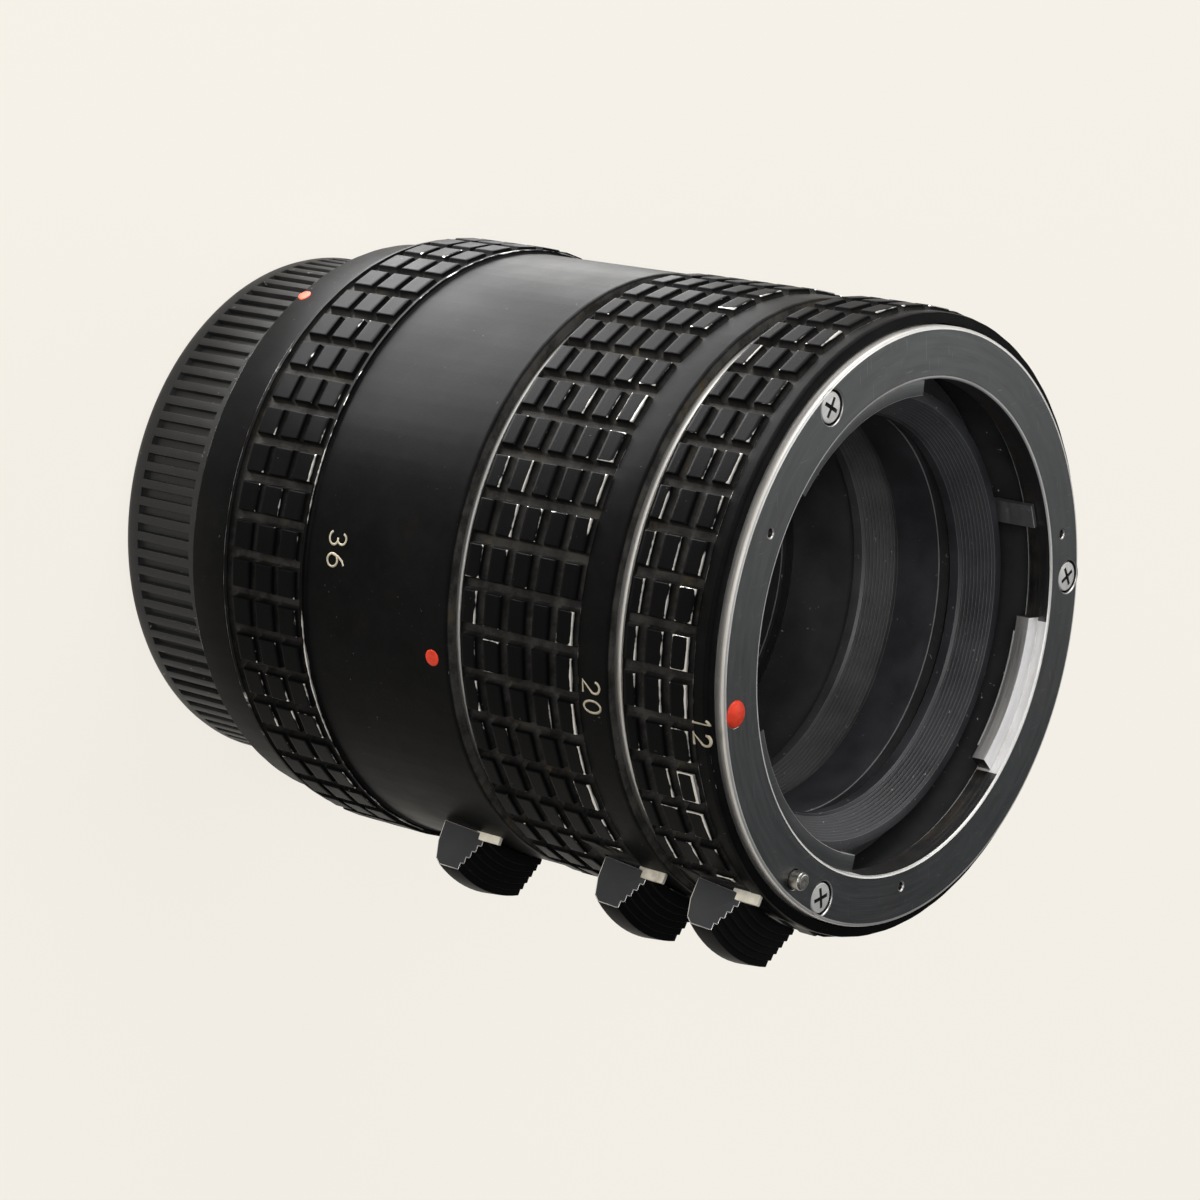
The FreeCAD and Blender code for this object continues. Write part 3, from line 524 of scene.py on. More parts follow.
def column_chain(columns, groove_r, pad_r):
    """Outline of the grip going down: (radius, depth, wear, column)."""
    rise = pad_r - groove_r
    shoulder_r, corner_r = pad_r - 0.28 * rise, pad_r - 0.06 * rise
    chain = []
    for number, (top, bottom) in enumerate(columns):
        flat = 0.3 if number else 0.46
        steps = [
            (groove_r, top - 0.3, 0.0), (shoulder_r, top - 0.1, 0.3), (corner_r, top, 1.0),
            (pad_r, top + 0.11, 0.85), (pad_r, top + flat, 0.0),
            (pad_r, bottom - 0.3, 0.0), (pad_r, bottom - 0.1, 0.3), (corner_r, bottom, 0.5),
            (shoulder_r, bottom + 0.1, 0.15), (groove_r, bottom + 0.3, 0.0),
        ]
        chain += [(*step, number) for step in steps]
    return chain


def off_grip(points):
    """Outline points that belong to no column of pads."""
    return [(*point, -1) for point in points]


def openings(tag):
    """Slot for the knob's stem and hole for the brass ear: first and last angle, upper and lower depth."""
    turn, back = KNOB_ANGLE[tag], KNOB_BACK[tag]
    slot = (max(PIN_ANGLE - 2.6, turn - 9.0) - 0.25, turn - 2.0 + 0.25, 4.3 + back, 8.7 + back)
    ear_first, ear_last = (turn + degrees(atan2(side, 30.2)) for side in (-5.05, -4.4))
    return slot, (ear_first, ear_last, 1.3 + back, 6.7 + back)


def barrel_outline(tag):
    """Closed outline of a barrel, and how many of its first points lie outside."""
    length, band, proud, worn = LENGTHS[tag], BAND_R[tag], PROUD[tag], RIM_WEAR[tag]
    rear, web = length - TAIL_STEP, length - WEB_THICK
    cuts = [depth for opening in openings(tag) for depth in opening[2:]]

    def depth_of(point):
        return point[1]

    if tag == "36":
        cuts = off_grip([(band, depth, 0.0) for depth in cuts])
        before = off_grip(BEFORE_GRIP)
        outside = sorted(cuts + before[:1], key=depth_of) + before[1:]
        outside += column_chain(COLUMNS[tag], REAR_GROOVE_R, REAR_PAD_R) + off_grip(AFTER_GRIP)
    else:
        end = BAND_END[tag]
        cuts = off_grip([(band, depth, 0.0) for depth in cuts if depth < end - 0.4])
        outside = off_grip([
            (band, end - 0.25, 0.0), (band - 0.03, end - 0.1, 0.8), (band - 0.12, end, 0.4),
            (GROOVE_R, end + 0.02, 0.0),
        ])
        outside += column_chain(COLUMNS[tag], GROOVE_R, PAD_R)
        outside += off_grip([
            (GROOVE_R, rear - 0.4, 0.0), (band - 0.07, rear - 0.32, 0.5), (band - 0.05, rear - 0.2, 0.4),
            (band - 0.2, rear, 0.6),
        ])
        outside = sorted(outside + cuts, key=depth_of)
    rim = off_grip([
        (RIM_R, PLATE_THICK, 0.0), (RIM_R, proud + 0.1, 0.0), (RIM_R + 0.07, proud, worn),
        (band - 0.25, proud, worn), (band - 0.08, proud + 0.07, 0.4 + worn * 0.6),
        (band, proud + 0.25, worn * 0.7), (band, proud + 0.5, 0.0),
    ])
    inner = off_grip([
        (TAIL_R, rear, 0.0), (TAIL_R, web + WEB_STEP, 0.0), (FOOT_R, web + WEB_STEP, 0.0),
        (FOOT_R, web, 0.0), (INNER_R, web, 0.0), (INNER_R, PLATE_THICK, 0.0),
    ])
    return rim + outside + inner, len(rim) + len(outside)


def barrel(tag):
    """Outline turned about the axis and held under the rows of pads, with wear and grime per pad."""
    rng = random.Random("barrel" + tag)
    band, rows = BAND_R[tag], ROWS[tag]
    count, phase, _, top_deg, root_deg, pad_r = rows
    long_one = tag == "36"
    outside, inside = 0, 1
    holes = openings(tag)
    chain, outer_count = barrel_outline(tag)
    angles = row_angles(count, phase, top_deg, root_deg) + [angle for hole in holes for angle in hole[:2]]
    angles = sorted(a % 360.0 for a in angles)
    angles = [a for a, b in zip(angles, angles[1:] + [angles[0] + 360.0]) if b - a > 0.02]
    rub = {}
    shape = Shape()
    index = []
    for angle in angles:
        allowed_r, allowed_wear, row = row_height(angle, *rows)
        from_knob = abs((angle - KNOB_ANGLE[tag] + 180.0) % 360.0 - 180.0)
        handled = (0.7 + 0.4 * cos(radians(angle - HAND_ANGLE))) * (0.9 if long_one else 1.0)
        line = []
        for r, depth, wear, column in chain:
            grime = 0.0
            if column >= 0:
                key = (row, column)
                if key not in rub:
                    rub[key] = (rng.uniform(0.4, 1.2), rng.uniform(0.0, 0.85), rng.uniform(0.3, 1.0))
                front, side, mood = rub[key]
                in_window = not long_one and from_knob < WINDOW_TURN and depth < WINDOW_END[tag]
                row_r, row_wear = (GROOVE_R, 0.0) if in_window else (allowed_r, allowed_wear)
                ahead = wear * front * (0.85 if column else 1.0) if row_r > pad_r - 0.12 else 0.0
                beside = row_wear * side if r > pad_r - 0.12 else 0.0
                wear = (max(ahead, beside) + 0.5 * min(ahead, beside)) * handled
                if column == 0 and not long_one:
                    wear *= 1.5
                r = min(r, row_r)
                if r < pad_r - 0.3:
                    grime = 0.35 + 0.65 * mood
                grime *= 1.3 if from_knob < GRIME_TURN else 0.9
            elif depth > 0.3:
                low = wear == 0 and r < band - 0.1 and depth < 30.0
                joint = r < band - 0.2 and depth < 0.75
                grime = 1.0 if joint else (0.5 if low else 0.03)
            line.append(shape.add(polar(r, angle, FACE[tag] - depth), min(wear, 1.2), min(grime, 1.0)))
        index.append(line)

    def in_hole(angle, depth):
        return any(first < angle < last and top < depth < low for first, last, top, low in holes)

    for i, angle in enumerate(angles):
        following = angles[(i + 1) % len(angles)] + (360.0 if i + 1 == len(angles) else 0.0)
        middle = (angle + following) / 2
        left, right = index[i], index[(i + 1) % len(angles)]
        for j in range(len(chain)):
            k = (j + 1) % len(chain)
            if j < outer_count - 1 and in_hole(middle, (chain[j][1] + chain[k][1]) / 2):
                continue
            shape.face((left[j], left[k], right[k], right[j]), outside if j < outer_count else inside)
    surface_r = band if long_one else band - 0.05
    for first, last, top, low in holes:
        pocket(shape, first, last, FACE[tag] - low, FACE[tag] - top, surface_r, inside)
    return shape.build("barrel_skin_" + tag, "tube_stack", "barrel_" + tag, [BLACK, MATT])


def pocket(shape, first, last, low, high, surface_r, material):
    """Five dark walls behind an opening in a barrel."""
    spots = rectangle(first, last, low, high)
    outer = [shape.add(polar(surface_r, a, z)) for a, z in spots]
    inner = [shape.add(polar(POCKET_R, a, z)) for a, z in spots]
    for i in range(4):
        k = (i + 1) % 4
        shape.face((outer[i], inner[i], inner[k], outer[k]), material)
    shape.face(inner, material)


# Rear cap.

def cap():
    ribs, cut_depth, base_thick = 93, 0.55, 1.8
    pitch = 360.0 / ribs
    gap = pitch * 0.5
    stops = [
        (0.0, cut_depth), (gap * 0.42, cut_depth), (gap * 0.47, cut_depth * 0.5),
        (gap * 0.52, 0.03), (gap * 0.62, 0.0),
    ]
    turns = [(-turn, cut) for turn, cut in stops[:0:-1]] + stops
    # Height, share of the cut and wear along a rib.
    heights = [
        (2.2, 0.0, 0.0), (2.4, 0.04, 1.0), (2.45, 0.5, 0.3), (2.6, 1.0, 0.0),
        (9.75, 1.0, 0.0), (9.93, 0.5, 0.3), (10.0, 0.04, 1.0), (10.2, 0.0, 0.0),
    ]
    lower = [(0.0, 0.0), (25.4, 0.0), (25.9, 0.08), (26.35, 0.22), (26.8, 0.55), (27.05, 0.9), (CAP_R, 1.35)]
    upper = [
        (CAP_R, 12.95, 0.0), (27.12, 13.15, 0.7), (26.95, CAP_TOP, 0.0), (BORE_R + 0.1, CAP_TOP, 0.0),
        (BORE_R, 13.2, 0.0), (BORE_R, base_thick, 0.0), (0.0, base_thick, 0.0),
    ]
    shape = Shape()
    index = []
    for i in range(ribs):
        for turn, cut in turns:
            angle = i * pitch + turn
            rib_wear = 0.9 if 0.0 < cut < 0.1 else 0.0
            line = [shape.add(polar(r, angle, z)) for r, z in lower]
            for z, share, edge in heights:
                fall = min(cut, cut_depth * share)
                wear = rib_wear if share == 1.0 else edge * 0.5
                line.append(shape.add(polar(CAP_R - fall, angle, z), wear, cut))
            line += [shape.add(polar(r, angle, z), wear) for r, z, wear in upper]
            index.append(line)
    for i, left in enumerate(index):
        right = index[(i + 1) % len(index)]
        for j in range(len(left) - 1):
            shape.face((left[j], right[j], right[j + 1], left[j + 1]))
    for span in FEMALE_LUGS:
        lathe(shape, rectangle(LUG_R, BORE_R + 0.3, 10.7, 12.2), 0.1, span=span)
    return shape.build("cap_shell", "cap", "rear_cap", [CAP], sharp=40.0)


# Mount plates: flat face with its holes, rounded rims, lugs.

def plate_holes():
    """Holes in a mount plate's face: x, y, radius, depth and bevel."""
    places = [(SCREW_RING_R, angle, 1.68, 0.85, 0.13) for angle in SCREW_ANGLES]
    places += [(radius, angle, 0.42, 0.4, 0.16) for radius, angle in DIMPLES]
    places.append((PIN_RING_R, PIN_ANGLE, PIN_R + 0.12, 2.5, 0.08))
    places.append((DOT_RING_R, FRONT_ANGLE, DOT_R, 0.3, 0.05))
    return [(*polar(ring_r, angle)[:2], *size) for ring_r, angle, *size in places]


def plate_face(shape, top, outer_r, inner_r, holes):
    """Flat ring with round holes left in it."""
    loops = [circle(0, 0, outer_r, AROUND), circle(0, 0, inner_r, AROUND)]
    loops += [circle(x, y, r + edge, SMALL_AROUND) for x, y, r, _, edge in holes]
    verts, triangles = triangulated(loops)
    ids = [shape.add((v.x, v.y, top)) for v in verts]
    for corners, x, y in triangles:
        in_hole = any(hypot(x - hx, y - hy) < r + edge - 0.01 for hx, hy, r, _, edge in holes)
        if not in_hole and inner_r < hypot(x, y) < outer_r:
            shape.face([ids[c] for c in corners])


def mount_plate(tag):
    """Flange with its holes, rounded rims and lugs."""
    plate, rim, dark, bore_wall, lug_highlight = range(5)
    top = FACE[tag]
    outer_r, inner_r = PLATE_R - 0.34, BORE_R + 0.3
    holes = plate_holes()
    shape = Shape()
    plate_face(shape, top, outer_r, inner_r, holes)
    for x, y, r, deep, edge in holes:
        steps = [
            (r + edge, 0.0, 0.6), (r + edge * 0.35, edge * 0.3, 1.0), (r, edge, 0.7),
            (r, edge * 2, 0.0), (r, deep, 0.0),
        ]
        rings = []
        for ring_r, drop, wear in steps:
            ring = circle(x, y, ring_r, SMALL_AROUND)
            grime = 0.6 if drop > 0.3 else 0.0
            rings.append([shape.add((px, py, top - drop), wear, grime) for px, py in ring])
        for ring, following in zip(rings, rings[1:]):
            shape.bridge(ring, following)
        shape.face(rings[-1], plate if r < 0.6 else dark)
    side = [
        (outer_r, 0.0, 0.3), (PLATE_R - 0.2, 0.015, 0.8), (PLATE_R - 0.07, 0.08, 1.0), (PLATE_R, 0.24, 0.6),
        (PLATE_R, 0.45, 0.0), (PLATE_R, PLATE_THICK, 0.0),
    ]
    bore = [
        (BORE_R, PLATE_THICK, 0.0), (BORE_R, 0.35, 0.0), (BORE_R + 0.03, 0.16, 0.8),
        (BORE_R + 0.13, 0.04, 1.0), (inner_r, 0.0, 0.4),
    ]
    chain = side + bore
    angles = [360.0 * i / AROUND for i in range(AROUND)]
    index = [[shape.add(polar(r, a, top - d), w, 0.5 if d > 1 else 0) for r, d, w in chain] for a in angles]
    for i, left in enumerate(index):
        right = index[(i + 1) % AROUND]
        middle = 360.0 * (i + 0.5) / AROUND
        over_lug = any(first < middle < last for first, last in FEMALE_LUGS)
        for j in range(len(chain) - 1):
            on_wall = len(side) <= j < len(side) + 2
            # The bore wall over each lug takes the painted highlight.
            material = (lug_highlight if over_lug else bore_wall) if on_wall else rim
            shape.face((left[j], left[j + 1], right[j + 1], right[j]), material)
    for span in FEMALE_LUGS:
        # Only one lug's top face is painted with the highlight; the others keep the plate finish.
        upper = lug_highlight if span == HIGHLIGHT_LUG else plate
        outline = rectangle(LUG_R, BORE_R + 0.02, top - PLATE_THICK, top - LUG_DROP)
        lathe(shape, outline, 0.1, span=span, pick=lambda r, z: upper if z > top - LUG_DROP - 0.05 else rim)
    return shape.build("mount_face_" + tag, "tube_stack", "mount_plate_" + tag,
                       [CHROME, RIM, MATT, BORE, LUG_PAINTED_HIGHLIGHT], sharp=25.0)


def cross_screw(shape, x, y, top, turn):
    """Countersunk look of a small cross-slot screw head, slightly domed, with a tapered recess."""
    head_r, head_h, arm, half, deep, crown, bevel = 1.5, 0.75, 1.02, 0.19, 0.42, 0.07, 0.12
    head, slot = 0, 1

    def height(px, py):
        return top - crown * (px * px + py * py) / head_r ** 2

    c, s = cos(radians(turn)), sin(radians(turn))

    def put(px, py, z, wear=0.0, grime=0.0):
        return shape.add((x + px * c - py * s, y + px * s + py * c, z), wear, grime)

    cross = [
        (half, half), (half, arm), (-half, arm), (-half, half), (-arm, half), (-arm, -half),
        (-half, -half), (-half, -arm), (half, -arm), (half, -half), (arm, -half), (arm, half),
    ]
    verts, triangles = triangulated((circle(0, 0, head_r - bevel, SMALL_AROUND), cross))
    ids = [put(v.x, v.y, height(v.x, v.y), 0.3) for v in verts]
    for corners, px, py in triangles:
        in_cross = (abs(px) < half and abs(py) < arm) or (abs(py) < half and abs(px) < arm)
        if not in_cross:
            shape.face([ids[i] for i in corners], head)
    upper = [put(px, py, height(px, py), 0.9) for px, py in cross]
    lower = [put(px * 0.8, py * 0.8, top - deep, 0.0, 1.0) for px, py in cross]
    shape.bridge(upper, lower, slot)
    shape.face(lower[::-1], slot)
    side = [(head_r - bevel, 0.06, 0.6), (head_r - 0.04, 0.1, 1.0), (head_r, 0.22, 0.5)]
    side.append((head_r, head_h, 0.0))
    rings = [[put(px, py, top - d, w) for px, py in circle(0, 0, r, SMALL_AROUND)] for r, d, w in side]
    for ring, following in zip(rings, rings[1:]):
        shape.bridge(ring, following, head)


def plate_screws(tag):
    shape = Shape()
    shank_r, shank_top, shank_end = 0.8, FACE[tag] - 0.85, FACE[tag] - 4.8
    for i, angle in enumerate(SCREW_ANGLES):
        x, y, _ = polar(SCREW_RING_R, angle)
        cross_screw(shape, x, y, FACE[tag] - 0.1, 35.0 * i + 20.0)
        start = len(shape.verts)
        lathe(shape, rectangle(0, shank_r, shank_end, shank_top), 0.1, 24)
        shape.shift(x, y, start)
    return shape.build("cross_screws_" + tag, "tube_stack", "plate_screws_" + tag,
                       [STEEL, MATT], sharp=35.0)


def index_dot(tag):
    shape = Shape()
    top = FACE[tag]
    bead = [(DOT_R, -0.02), (1.2, 0.14), (1.0, 0.27), (0.7, 0.37), (0.35, 0.43), (0, 0.445)]
    lathe(shape, [(0, top - 0.3), (DOT_R, top - 0.3)] + [(r, top + rise) for r, rise in bead], 0.02, 48)
    x, y, _ = polar(DOT_RING_R, FRONT_ANGLE)
    shape.shift(x, y)
    return shape.build("red_bead_" + tag, "tube_stack", "index_dot_" + tag, [RED], sharp=60.0)


def leaf_spring(tag):
    shape = Shape()
    hoop_r, hoop_outer_r, leaf_r, leaf_outer_r = 24.25, 25.6, 22.45, 24.6
    thick, shorter = 0.22, 4
    high = FACE[tag] - PLATE_THICK
    low = high - thick
    lathe(shape, rectangle(hoop_r, hoop_outer_r, low, high), 0.04)
    for first, last in FEMALE_LUGS:
        span = (first + shorter, last - shorter)
        lathe(shape, rectangle(leaf_r, leaf_outer_r, low, high), 0.05, span=span)
    return shape.build("leaf_hoop_" + tag, "tube_stack", "leaf_spring_" + tag, [STEEL], sharp=40.0)


def bayonet_ring(tag):
    inner_r, neck_r, collar_r, flange_r = 20.3, 22.27, 26.4, 29.2
    lug_r, lug_thick = 22.2, 1.3
    bright, dark = 0, 1
    shape = Shape()
    z = FACE[tag] - LENGTHS[tag]
    outline = [
        (inner_r, z + 1), (flange_r, z + 1), (flange_r, z + 0.5), (collar_r, z + 0.5), (collar_r, z),
        (MALE_R, z), (MALE_R, z - 1), (neck_r, z - 1), (neck_r, z - MALE_DEPTH), (inner_r, z - MALE_DEPTH),
    ]

    def finish(r, height):
        return dark if height > z + 0.6 or r < inner_r + 0.3 else bright

    lathe(shape, outline, 0.15, pick=finish)
    for span in MALE_LUGS:
        lathe(shape, rectangle(lug_r, MALE_R, z - MALE_DEPTH, z - MALE_DEPTH + lug_thick), 0.1, span=span)
    return shape.build("bayonet_" + tag, "tube_stack", "bayonet_ring_" + tag, [RIM, RINGS])


def baffle(tag):
    """Light baffle with two zones of fine anti-reflection rings."""
    count, first_depth, mouth_r, taper, spread = 9, 5.25, 21.75, 1.75, 2.7
    throat_r, inner_r, sleeve_r, foot_outer_r, mouth = 19.7, 21.2, 22.82, 23.35, 5.2
    web = LENGTHS[tag] - WEB_THICK
    foot, lip = web + WEB_STEP, web - 1.45
    outline = [(mouth_r + 0.05, mouth)]
    for i in range(count):
        share = i / count
        r, depth = mouth_r - taper * share, first_depth + spread * share
        outline += [(r, depth), (r - 0.3, depth + 0.13), (r - 0.27, depth + 0.25)]
    outline += [
        (throat_r, 8.2), (throat_r, 9.25), (inner_r, 9.6), (inner_r, foot), (FOOT_R, foot), (FOOT_R, lip),
        (foot_outer_r, lip), (foot_outer_r, lip - 0.5), (sleeve_r, lip - 0.5), (sleeve_r, mouth),
    ]
    shape = Shape()
    lathe(shape, [(r, FACE[tag] - depth) for r, depth in outline], 0.03)
    # The baffles of the 20 and the 36 sit deeper and take the lighter copy of the ring finish, as painted
    # light for the shade there.
    finish = RINGS if tag == "12" else LIT_DEEP_RINGS
    return shape.build("baffle_sleeve_" + tag, "tube_stack", "baffle_" + tag,
                       [finish], sharp=35.0)


def coupling(tag):
    """Ring that turns on the baffle's sleeve, with its tab up and its finger down."""
    shape = Shape()
    low = FACE[tag] - (LENGTHS[tag] - WEB_THICK)
    high = low + RING_THICK
    finger_end = FACE[tag] - LENGTHS[tag] - 3.6
    lathe(shape, rectangle(RING_R, RING_OUTER_R, low, high), 0.08)
    lathe(shape, rectangle(TAB_R, TAB_OUTER_R, low + 0.2, FACE[tag] - 1.3), 0.1, span=TAB_SPAN)
    lathe(shape, rectangle(TAB_R, TAB_OUTER_R, finger_end, high - 0.2), 0.08, span=FINGER_SPAN)
    return shape.build("coupler_" + tag, "coupler_" + tag, "coupling_ring_" + tag,
                       [DARK_METAL])


def lock_pin(tag):
    shape = Shape()
    top, low = FACE[tag] + PIN_RISE, FACE[tag] - PIN_END - KNOB_BACK[tag]
    tip = 0.22
    outline = [(0, low), (PIN_R, low), (PIN_R, top - tip), (PIN_R - tip, top), (0, top)]
    lathe(shape, outline, 0.06, SMALL_AROUND)
    x, y, _ = polar(PIN_RING_R, PIN_ANGLE)
    shape.shift(x, y)
    return shape.build("pin_" + tag, "lock_" + tag, "lock_pin_" + tag, [PIN])


def pin_coil(tag):
    """Coil of round wire under the lock pin, drawn at its full length on a mesh of its own. The real coil
    shortens as the knob draws the pin down.
    """
    turns, steps, around = 4, 20, 8
    wire_r, coil_r, length = 0.1, 0.62, 2.88
    floor = FACE[tag] - SPRING_FLOOR - KNOB_BACK[tag]
    cx, cy, _ = polar(PIN_RING_R, PIN_ANGLE)
    shape = Shape()
    rings = []
    for i in range(turns * steps + 1):
        middle = floor + wire_r + (length - 2 * wire_r) * i / (turns * steps)
        ring = []
        for k in range(around):
            a = 2 * pi * k / around
            x, y, z = polar(coil_r + wire_r * cos(a), 360.0 * i / steps, middle + wire_r * sin(a))
            ring.append(shape.add((cx + x, cy + y, z)))
        rings.append(ring)
    for ring, following in zip(rings, rings[1:]):
        for i in range(around):
            k = (i + 1) % around
            shape.face((ring[i], ring[k], following[k], following[i]))
    shape.face(rings[0][::-1])
    shape.face(rings[-1])
    piece = shape.build("coil_" + tag, "tube_stack", "pin_spring_" + tag, [STEEL], sharp=50.0)
    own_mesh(piece)


# Release knobs and brass slides, drawn about +X and turned to their angle.

def at_knob(tag, x, y, depth):
    a = radians(KNOB_ANGLE[tag])
    return (x * cos(a) - y * sin(a), x * sin(a) + y * cos(a), FACE[tag] - KNOB_BACK[tag] - depth)


def knob(tag):
    """Thumb knob with a crowned top, a toothed slope and a foot that lies on the barrel."""
    top, rear, front, crown, wide, narrow, foot_r = 34.5, 8.0, 3.1, 1.2, 6.15, 4.65, 30.66
    teeth, first_tooth = 5, 5.0
    run, fall = 1.9 / teeth, 3.6 / teeth
    profile = [(top - 2.25, rear), (top - 0.54, rear - 0.36), (top, rear - 0.9)]
    for i in range(teeth):
        depth, x = first_tooth - i * run, top - i * fall
        profile += [(x, depth), (x - fall * 0.78 - 0.14, depth - run * 0.4 + 0.14)]
    profile.append((30.9, front))
    centre = top + crown - (wide ** 2 + crown ** 2) / (2 * crown)
    across = 12
    corners, loop = [], []

    def add_row(half, depth, middle, radius):
        row = []
        for i in range(across + 1):
            y = half * (2 * i / across - 1)
            row.append(len(corners))
            corners.append(at_knob(tag, middle + sqrt(radius ** 2 - y ** 2), y, depth))
        return row

    for x, depth in profile:
        half = narrow + (wide - narrow) * (depth - front) / (rear - front)
        loop.append(add_row(half, depth, centre, hypot(x - centre, half)))
    rear_foot = add_row(wide, rear, 0.0, foot_r)
    front_foot = add_row(narrow, front, 0.0, foot_r)
    loop += [front_foot, rear_foot]
    faces = [[row[0] for row in loop], [row[-1] for row in loop][::-1]]
    for a, b in zip(loop, loop[1:] + loop[:1]):
        faces += [(a[i], a[i + 1], b[i + 1], b[i]) for i in range(across)]
    return block("thumb_knob_" + tag, corners, faces, "lock_" + tag, "release_knob_" + tag,
                 [KNOB, WORN, KNOB_SIDE], 0.09, sides=2)


def slide(tag):
    """Brass ear beside the knob."""
    low, high, near, far = 29.5, 31.0, -4.95, -4.5
    square = ((low, near), (high, near), (high, far), (low, far))
    corners = [at_knob(tag, x, y, depth) for depth in (4.6, 1.4) for x, y in square]
    faces = [(0, 1, 2, 3), (7, 6, 5, 4), (0, 4, 5, 1), (1, 5, 6, 2), (2, 6, 7, 3), (3, 7, 4, 0)]
    return block("brass_slide_" + tag, corners, faces, "lock_" + tag, "slide_plate_" + tag,
                 [BRASS, BRASS], 0.08)


# Painted marks: dots and plain numbers.

def surface_dot(name, node, angle, z, radius, surface_r):
    shape = Shape()
    count = 32
    index = []
    for share, rise in [(0.0, 0.055), (0.45, 0.055), (0.8, 0.045), (0.95, 0.02), (1.0, -0.05)]:
        line = []
        for i in range(count):
            a = 2 * pi * i / count
            turn = degrees(radius * share * sin(a) / surface_r)
            line.append(shape.add(polar(surface_r + rise, angle + turn, z + radius * share * cos(a))))
        index.append(line)
    for ring, following in zip(index, index[1:]):
        for i in range(count):
            k = (i + 1) % count
            shape.face((ring[i], following[i], following[k], ring[k]))
    return shape.build(name, "tube_stack", node, [RED], sharp=80.0)


def arc(cx, cy, rx, ry, start, stop, steps):
    turns = [radians(start + (stop - start) * i / steps) for i in range(steps + 1)]
    return [(cx + rx * cos(turn), cy + ry * sin(turn)) for turn in turns]


# Strokes of the digits, one unit high. Each is drawn about the middle of its width.
GLYPH_MIDDLE = 0.32
GLYPHS = {
    "0": [arc(0.32, 0.5, 0.3, 0.5, 90, 450, 28)],
    "1": [[(0.12, 0.8), (0.32, 1.0), (0.32, 0.0)]],
    "2": [arc(0.32, 0.7, 0.28, 0.3, 170, -38, 16) + [(0.03, 0.0), (0.62, 0.0)]],
    "3": [arc(0.3, 0.745, 0.25, 0.255, 160, -90, 14) + arc(0.3, 0.26, 0.3, 0.26, 90, -160, 16)],
    "6": [arc(0.32, 0.3, 0.29, 0.3, 90, 450, 22), [(0.05, 0.32), (0.12, 0.62), (0.3, 0.88), (0.5, 1.0)]],
}


def number(tag, centres, depth, height):
    """Digits of a tube's length in round strokes on its barrel, just proud of it."""
    thick, surface_r = 0.15, BAND_R[tag]
    curve = bpy.data.curves.new("digits_" + tag, "CURVE")
    curve.dimensions = "3D"
    curve.bevel_depth = thick * MM
    curve.bevel_resolution = 2
    curve.use_fill_caps = True
    for digit, centre in zip(tag, centres):
        for stroke in GLYPHS[digit]:
            spline = curve.splines.new("POLY")
            spline.points.add(len(stroke) - 1)
            for point, (u, v) in zip(spline.points, stroke):
                turn = degrees((u - GLYPH_MIDDLE) * height / surface_r)
                z = FACE[tag] - depth + (v - 0.5) * height
                x, y, z = polar(surface_r - thick * 0.62, centre + turn, z)
                point.co = (x * MM, y * MM, z * MM, 1.0)
    curve.materials.append(GOLD)
    piece = bpy.data.objects.new("digits_" + tag, curve)
    bpy.context.scene.collection.objects.link(piece)
    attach(piece, "tube_stack")


cap()
for tag in TAGS:
    barrel(tag)
    mount_plate(tag)
    plate_screws(tag)
    index_dot(tag)
    leaf_spring(tag)
    bayonet_ring(tag)
    baffle(tag)
    coupling(tag)
    lock_pin(tag)
    pin_coil(tag)
    knob(tag)
    slide(tag)
surface_dot("front_mark_36", "barrel_dot_36", FRONT_ANGLE, FACE["36"] - 2.4, 0.85, BAND_R["36"])
surface_dot("rear_mark_36", "rear_dot_36", 202.4, CAP_TOP + 0.8, 0.7, REAR_R)
number("12", (270.6, 273.6), 1.75, 1.95)
number("20", (268.65, 272.3), 2.62, 2.0)
number("36", (252.0, 256.0), 15.3, 2.2)

# The small screws of the bayonet rings stay as they are and get their own finish.
for tag in TAGS:
    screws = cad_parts["ring_screws_" + tag].data
    screws.materials.clear()
    screws.materials.append(STEEL)


# Floor, world, lights and camera. Their places are in metres.
BACKDROP = (0.905, 0.871, 0.799)


def pale_floor():
    """Floor in the backdrop's colour that keeps the object's shadow and fades into the backdrop far away."""
    mesh = bpy.data.meshes.new("floor")
    size = 3.0
    corners = [(-size, -size, 0), (size, -size, 0), (size, size, 0), (-size, size, 0)]
    mesh.from_pydata(corners, [], [(0, 1, 2, 3)])
    n = Nodes("pale_floor")
    n.set(Base_Color=(*BACKDROP, 1.0), Roughness=0.9)
    n.shader.inputs["Specular IOR Level"].default_value = 0.1
    away = n.node("VectorMath", {0: n.place}, operation="LENGTH").outputs["Value"]
    far = n.ramp(away, 0.25, 1.0)
    glow = n.node("Emission", {"Color": (*BACKDROP, 1.0), "Strength": n.blend(far, 1.055, 1.0)})
    path = n.node("LightPath").outputs
    seen = n.math("MAXIMUM", path["Is Glossy Ray"], path["Is Transmission Ray"])
    seen = n.math("MAXIMUM", path["Is Camera Ray"], seen)
    share = n.times(seen, n.blend(far, 0.86, 1.0))
    both = n.node("MixShader", {0: share, 1: n.shader.outputs[0], 2: glow.outputs[0]})
    n.tree.links.new(both.outputs[0], n.tree.nodes["Material Output"].inputs["Surface"])
    mesh.materials.append(n.material)
    floor = bpy.data.objects.new("floor", mesh)
    bpy.context.scene.collection.objects.link(floor)


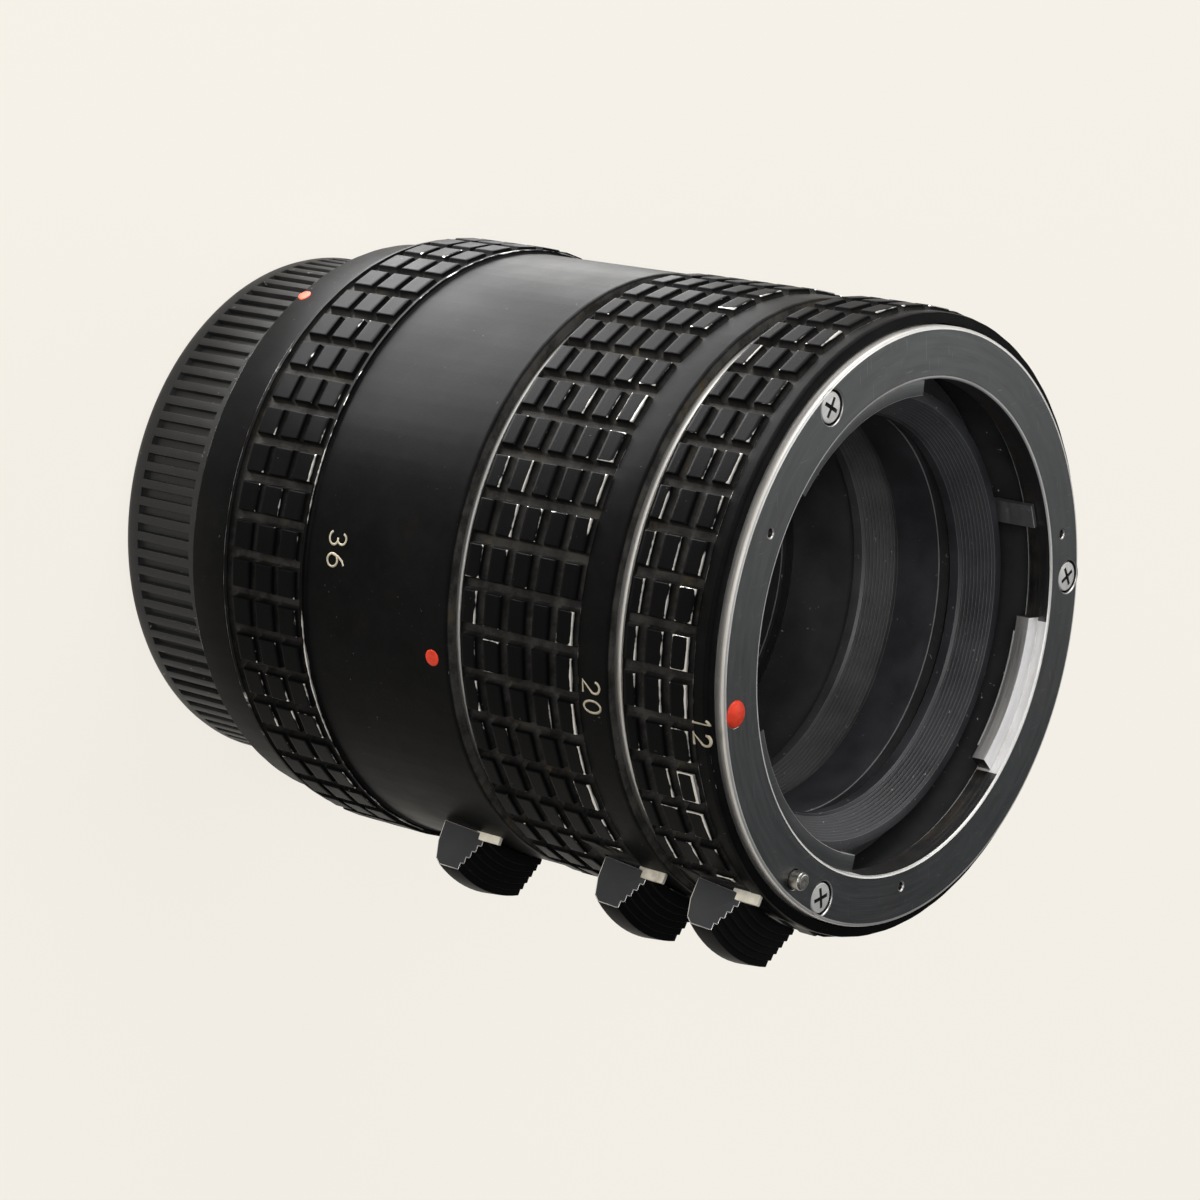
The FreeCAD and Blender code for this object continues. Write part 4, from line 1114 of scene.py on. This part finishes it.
def studio_world():
    world = bpy.data.worlds.new("studio")
    world.use_nodes = True
    nodes, links = world.node_tree.nodes, world.node_tree.links
    soft = nodes["Background"]
    soft.inputs["Color"].default_value = (0.92, 0.95, 1.0, 1.0)
    soft.inputs["Strength"].default_value = 0.14
    seen = nodes.new("ShaderNodeBackground")
    seen.inputs["Color"].default_value = (*BACKDROP, 1.0)
    path = nodes.new("ShaderNodeLightPath")
    mix = nodes.new("ShaderNodeMixShader")
    links.new(path.outputs["Is Camera Ray"], mix.inputs[0])
    links.new(soft.outputs[0], mix.inputs[1])
    links.new(seen.outputs[0], mix.inputs[2])
    links.new(mix.outputs[0], nodes["World Output"].inputs["Surface"])
    bpy.context.scene.world = world


def softbox(name, place, target, width, height, power):
    light = bpy.data.lights.new(name, "AREA")
    light.shape = "RECTANGLE"
    light.size, light.size_y = width, height
    light.energy = power
    lamp = bpy.data.objects.new(name, light)
    lamp.location = place
    lamp.rotation_euler = (Vector(target) - Vector(place)).to_track_quat("-Z", "Y").to_euler()
    lamp.visible_camera = False
    bpy.context.scene.collection.objects.link(lamp)


def camera():
    """Camera fitted to the photograph, rolled so that the standing part lies as in the picture."""
    data = bpy.data.cameras.new("camera")
    data.lens, data.sensor_width = 108.0, 36.0
    place = Vector((-113.18, -265.34, 272.37)) * MM
    up = Vector((-0.9472, 0.2752, -0.1645))
    ahead = Vector((0.3161, 0.7164, -0.6220)).normalized()
    right = ahead.cross(up).normalized()
    up = right.cross(ahead)
    turn = Matrix((right, up, -ahead)).transposed().to_4x4()
    shooter = bpy.data.objects.new("camera", data)
    shooter.matrix_world = Matrix.Translation(place) @ turn
    bpy.context.scene.collection.objects.link(shooter)
    bpy.context.scene.camera = shooter


pale_floor()
studio_world()
softbox("low panel", (-0.088, -0.014, 0.003), (-0.088, -0.014, 1.0), 0.1, 0.06, 0.3)
softbox("low panel behind", (-0.088, 0.042, 0.003), (-0.088, 0.042, 1.0), 0.1, 0.05, 0.12)
softbox("key", (-0.55, 0.12, 0.2), (0, 0, 0.045), 0.5, 0.34, 2.6)
softbox("fill", (-0.28, -0.54, 0.5), (0, 0, 0.045), 0.4, 0.3, 2.2)
softbox("top", (-0.05, 0.46, 0.56), (0, 0, 0.07), 0.4, 0.4, 1.1)
camera()
bpy.context.scene.view_settings.view_transform = "Standard"
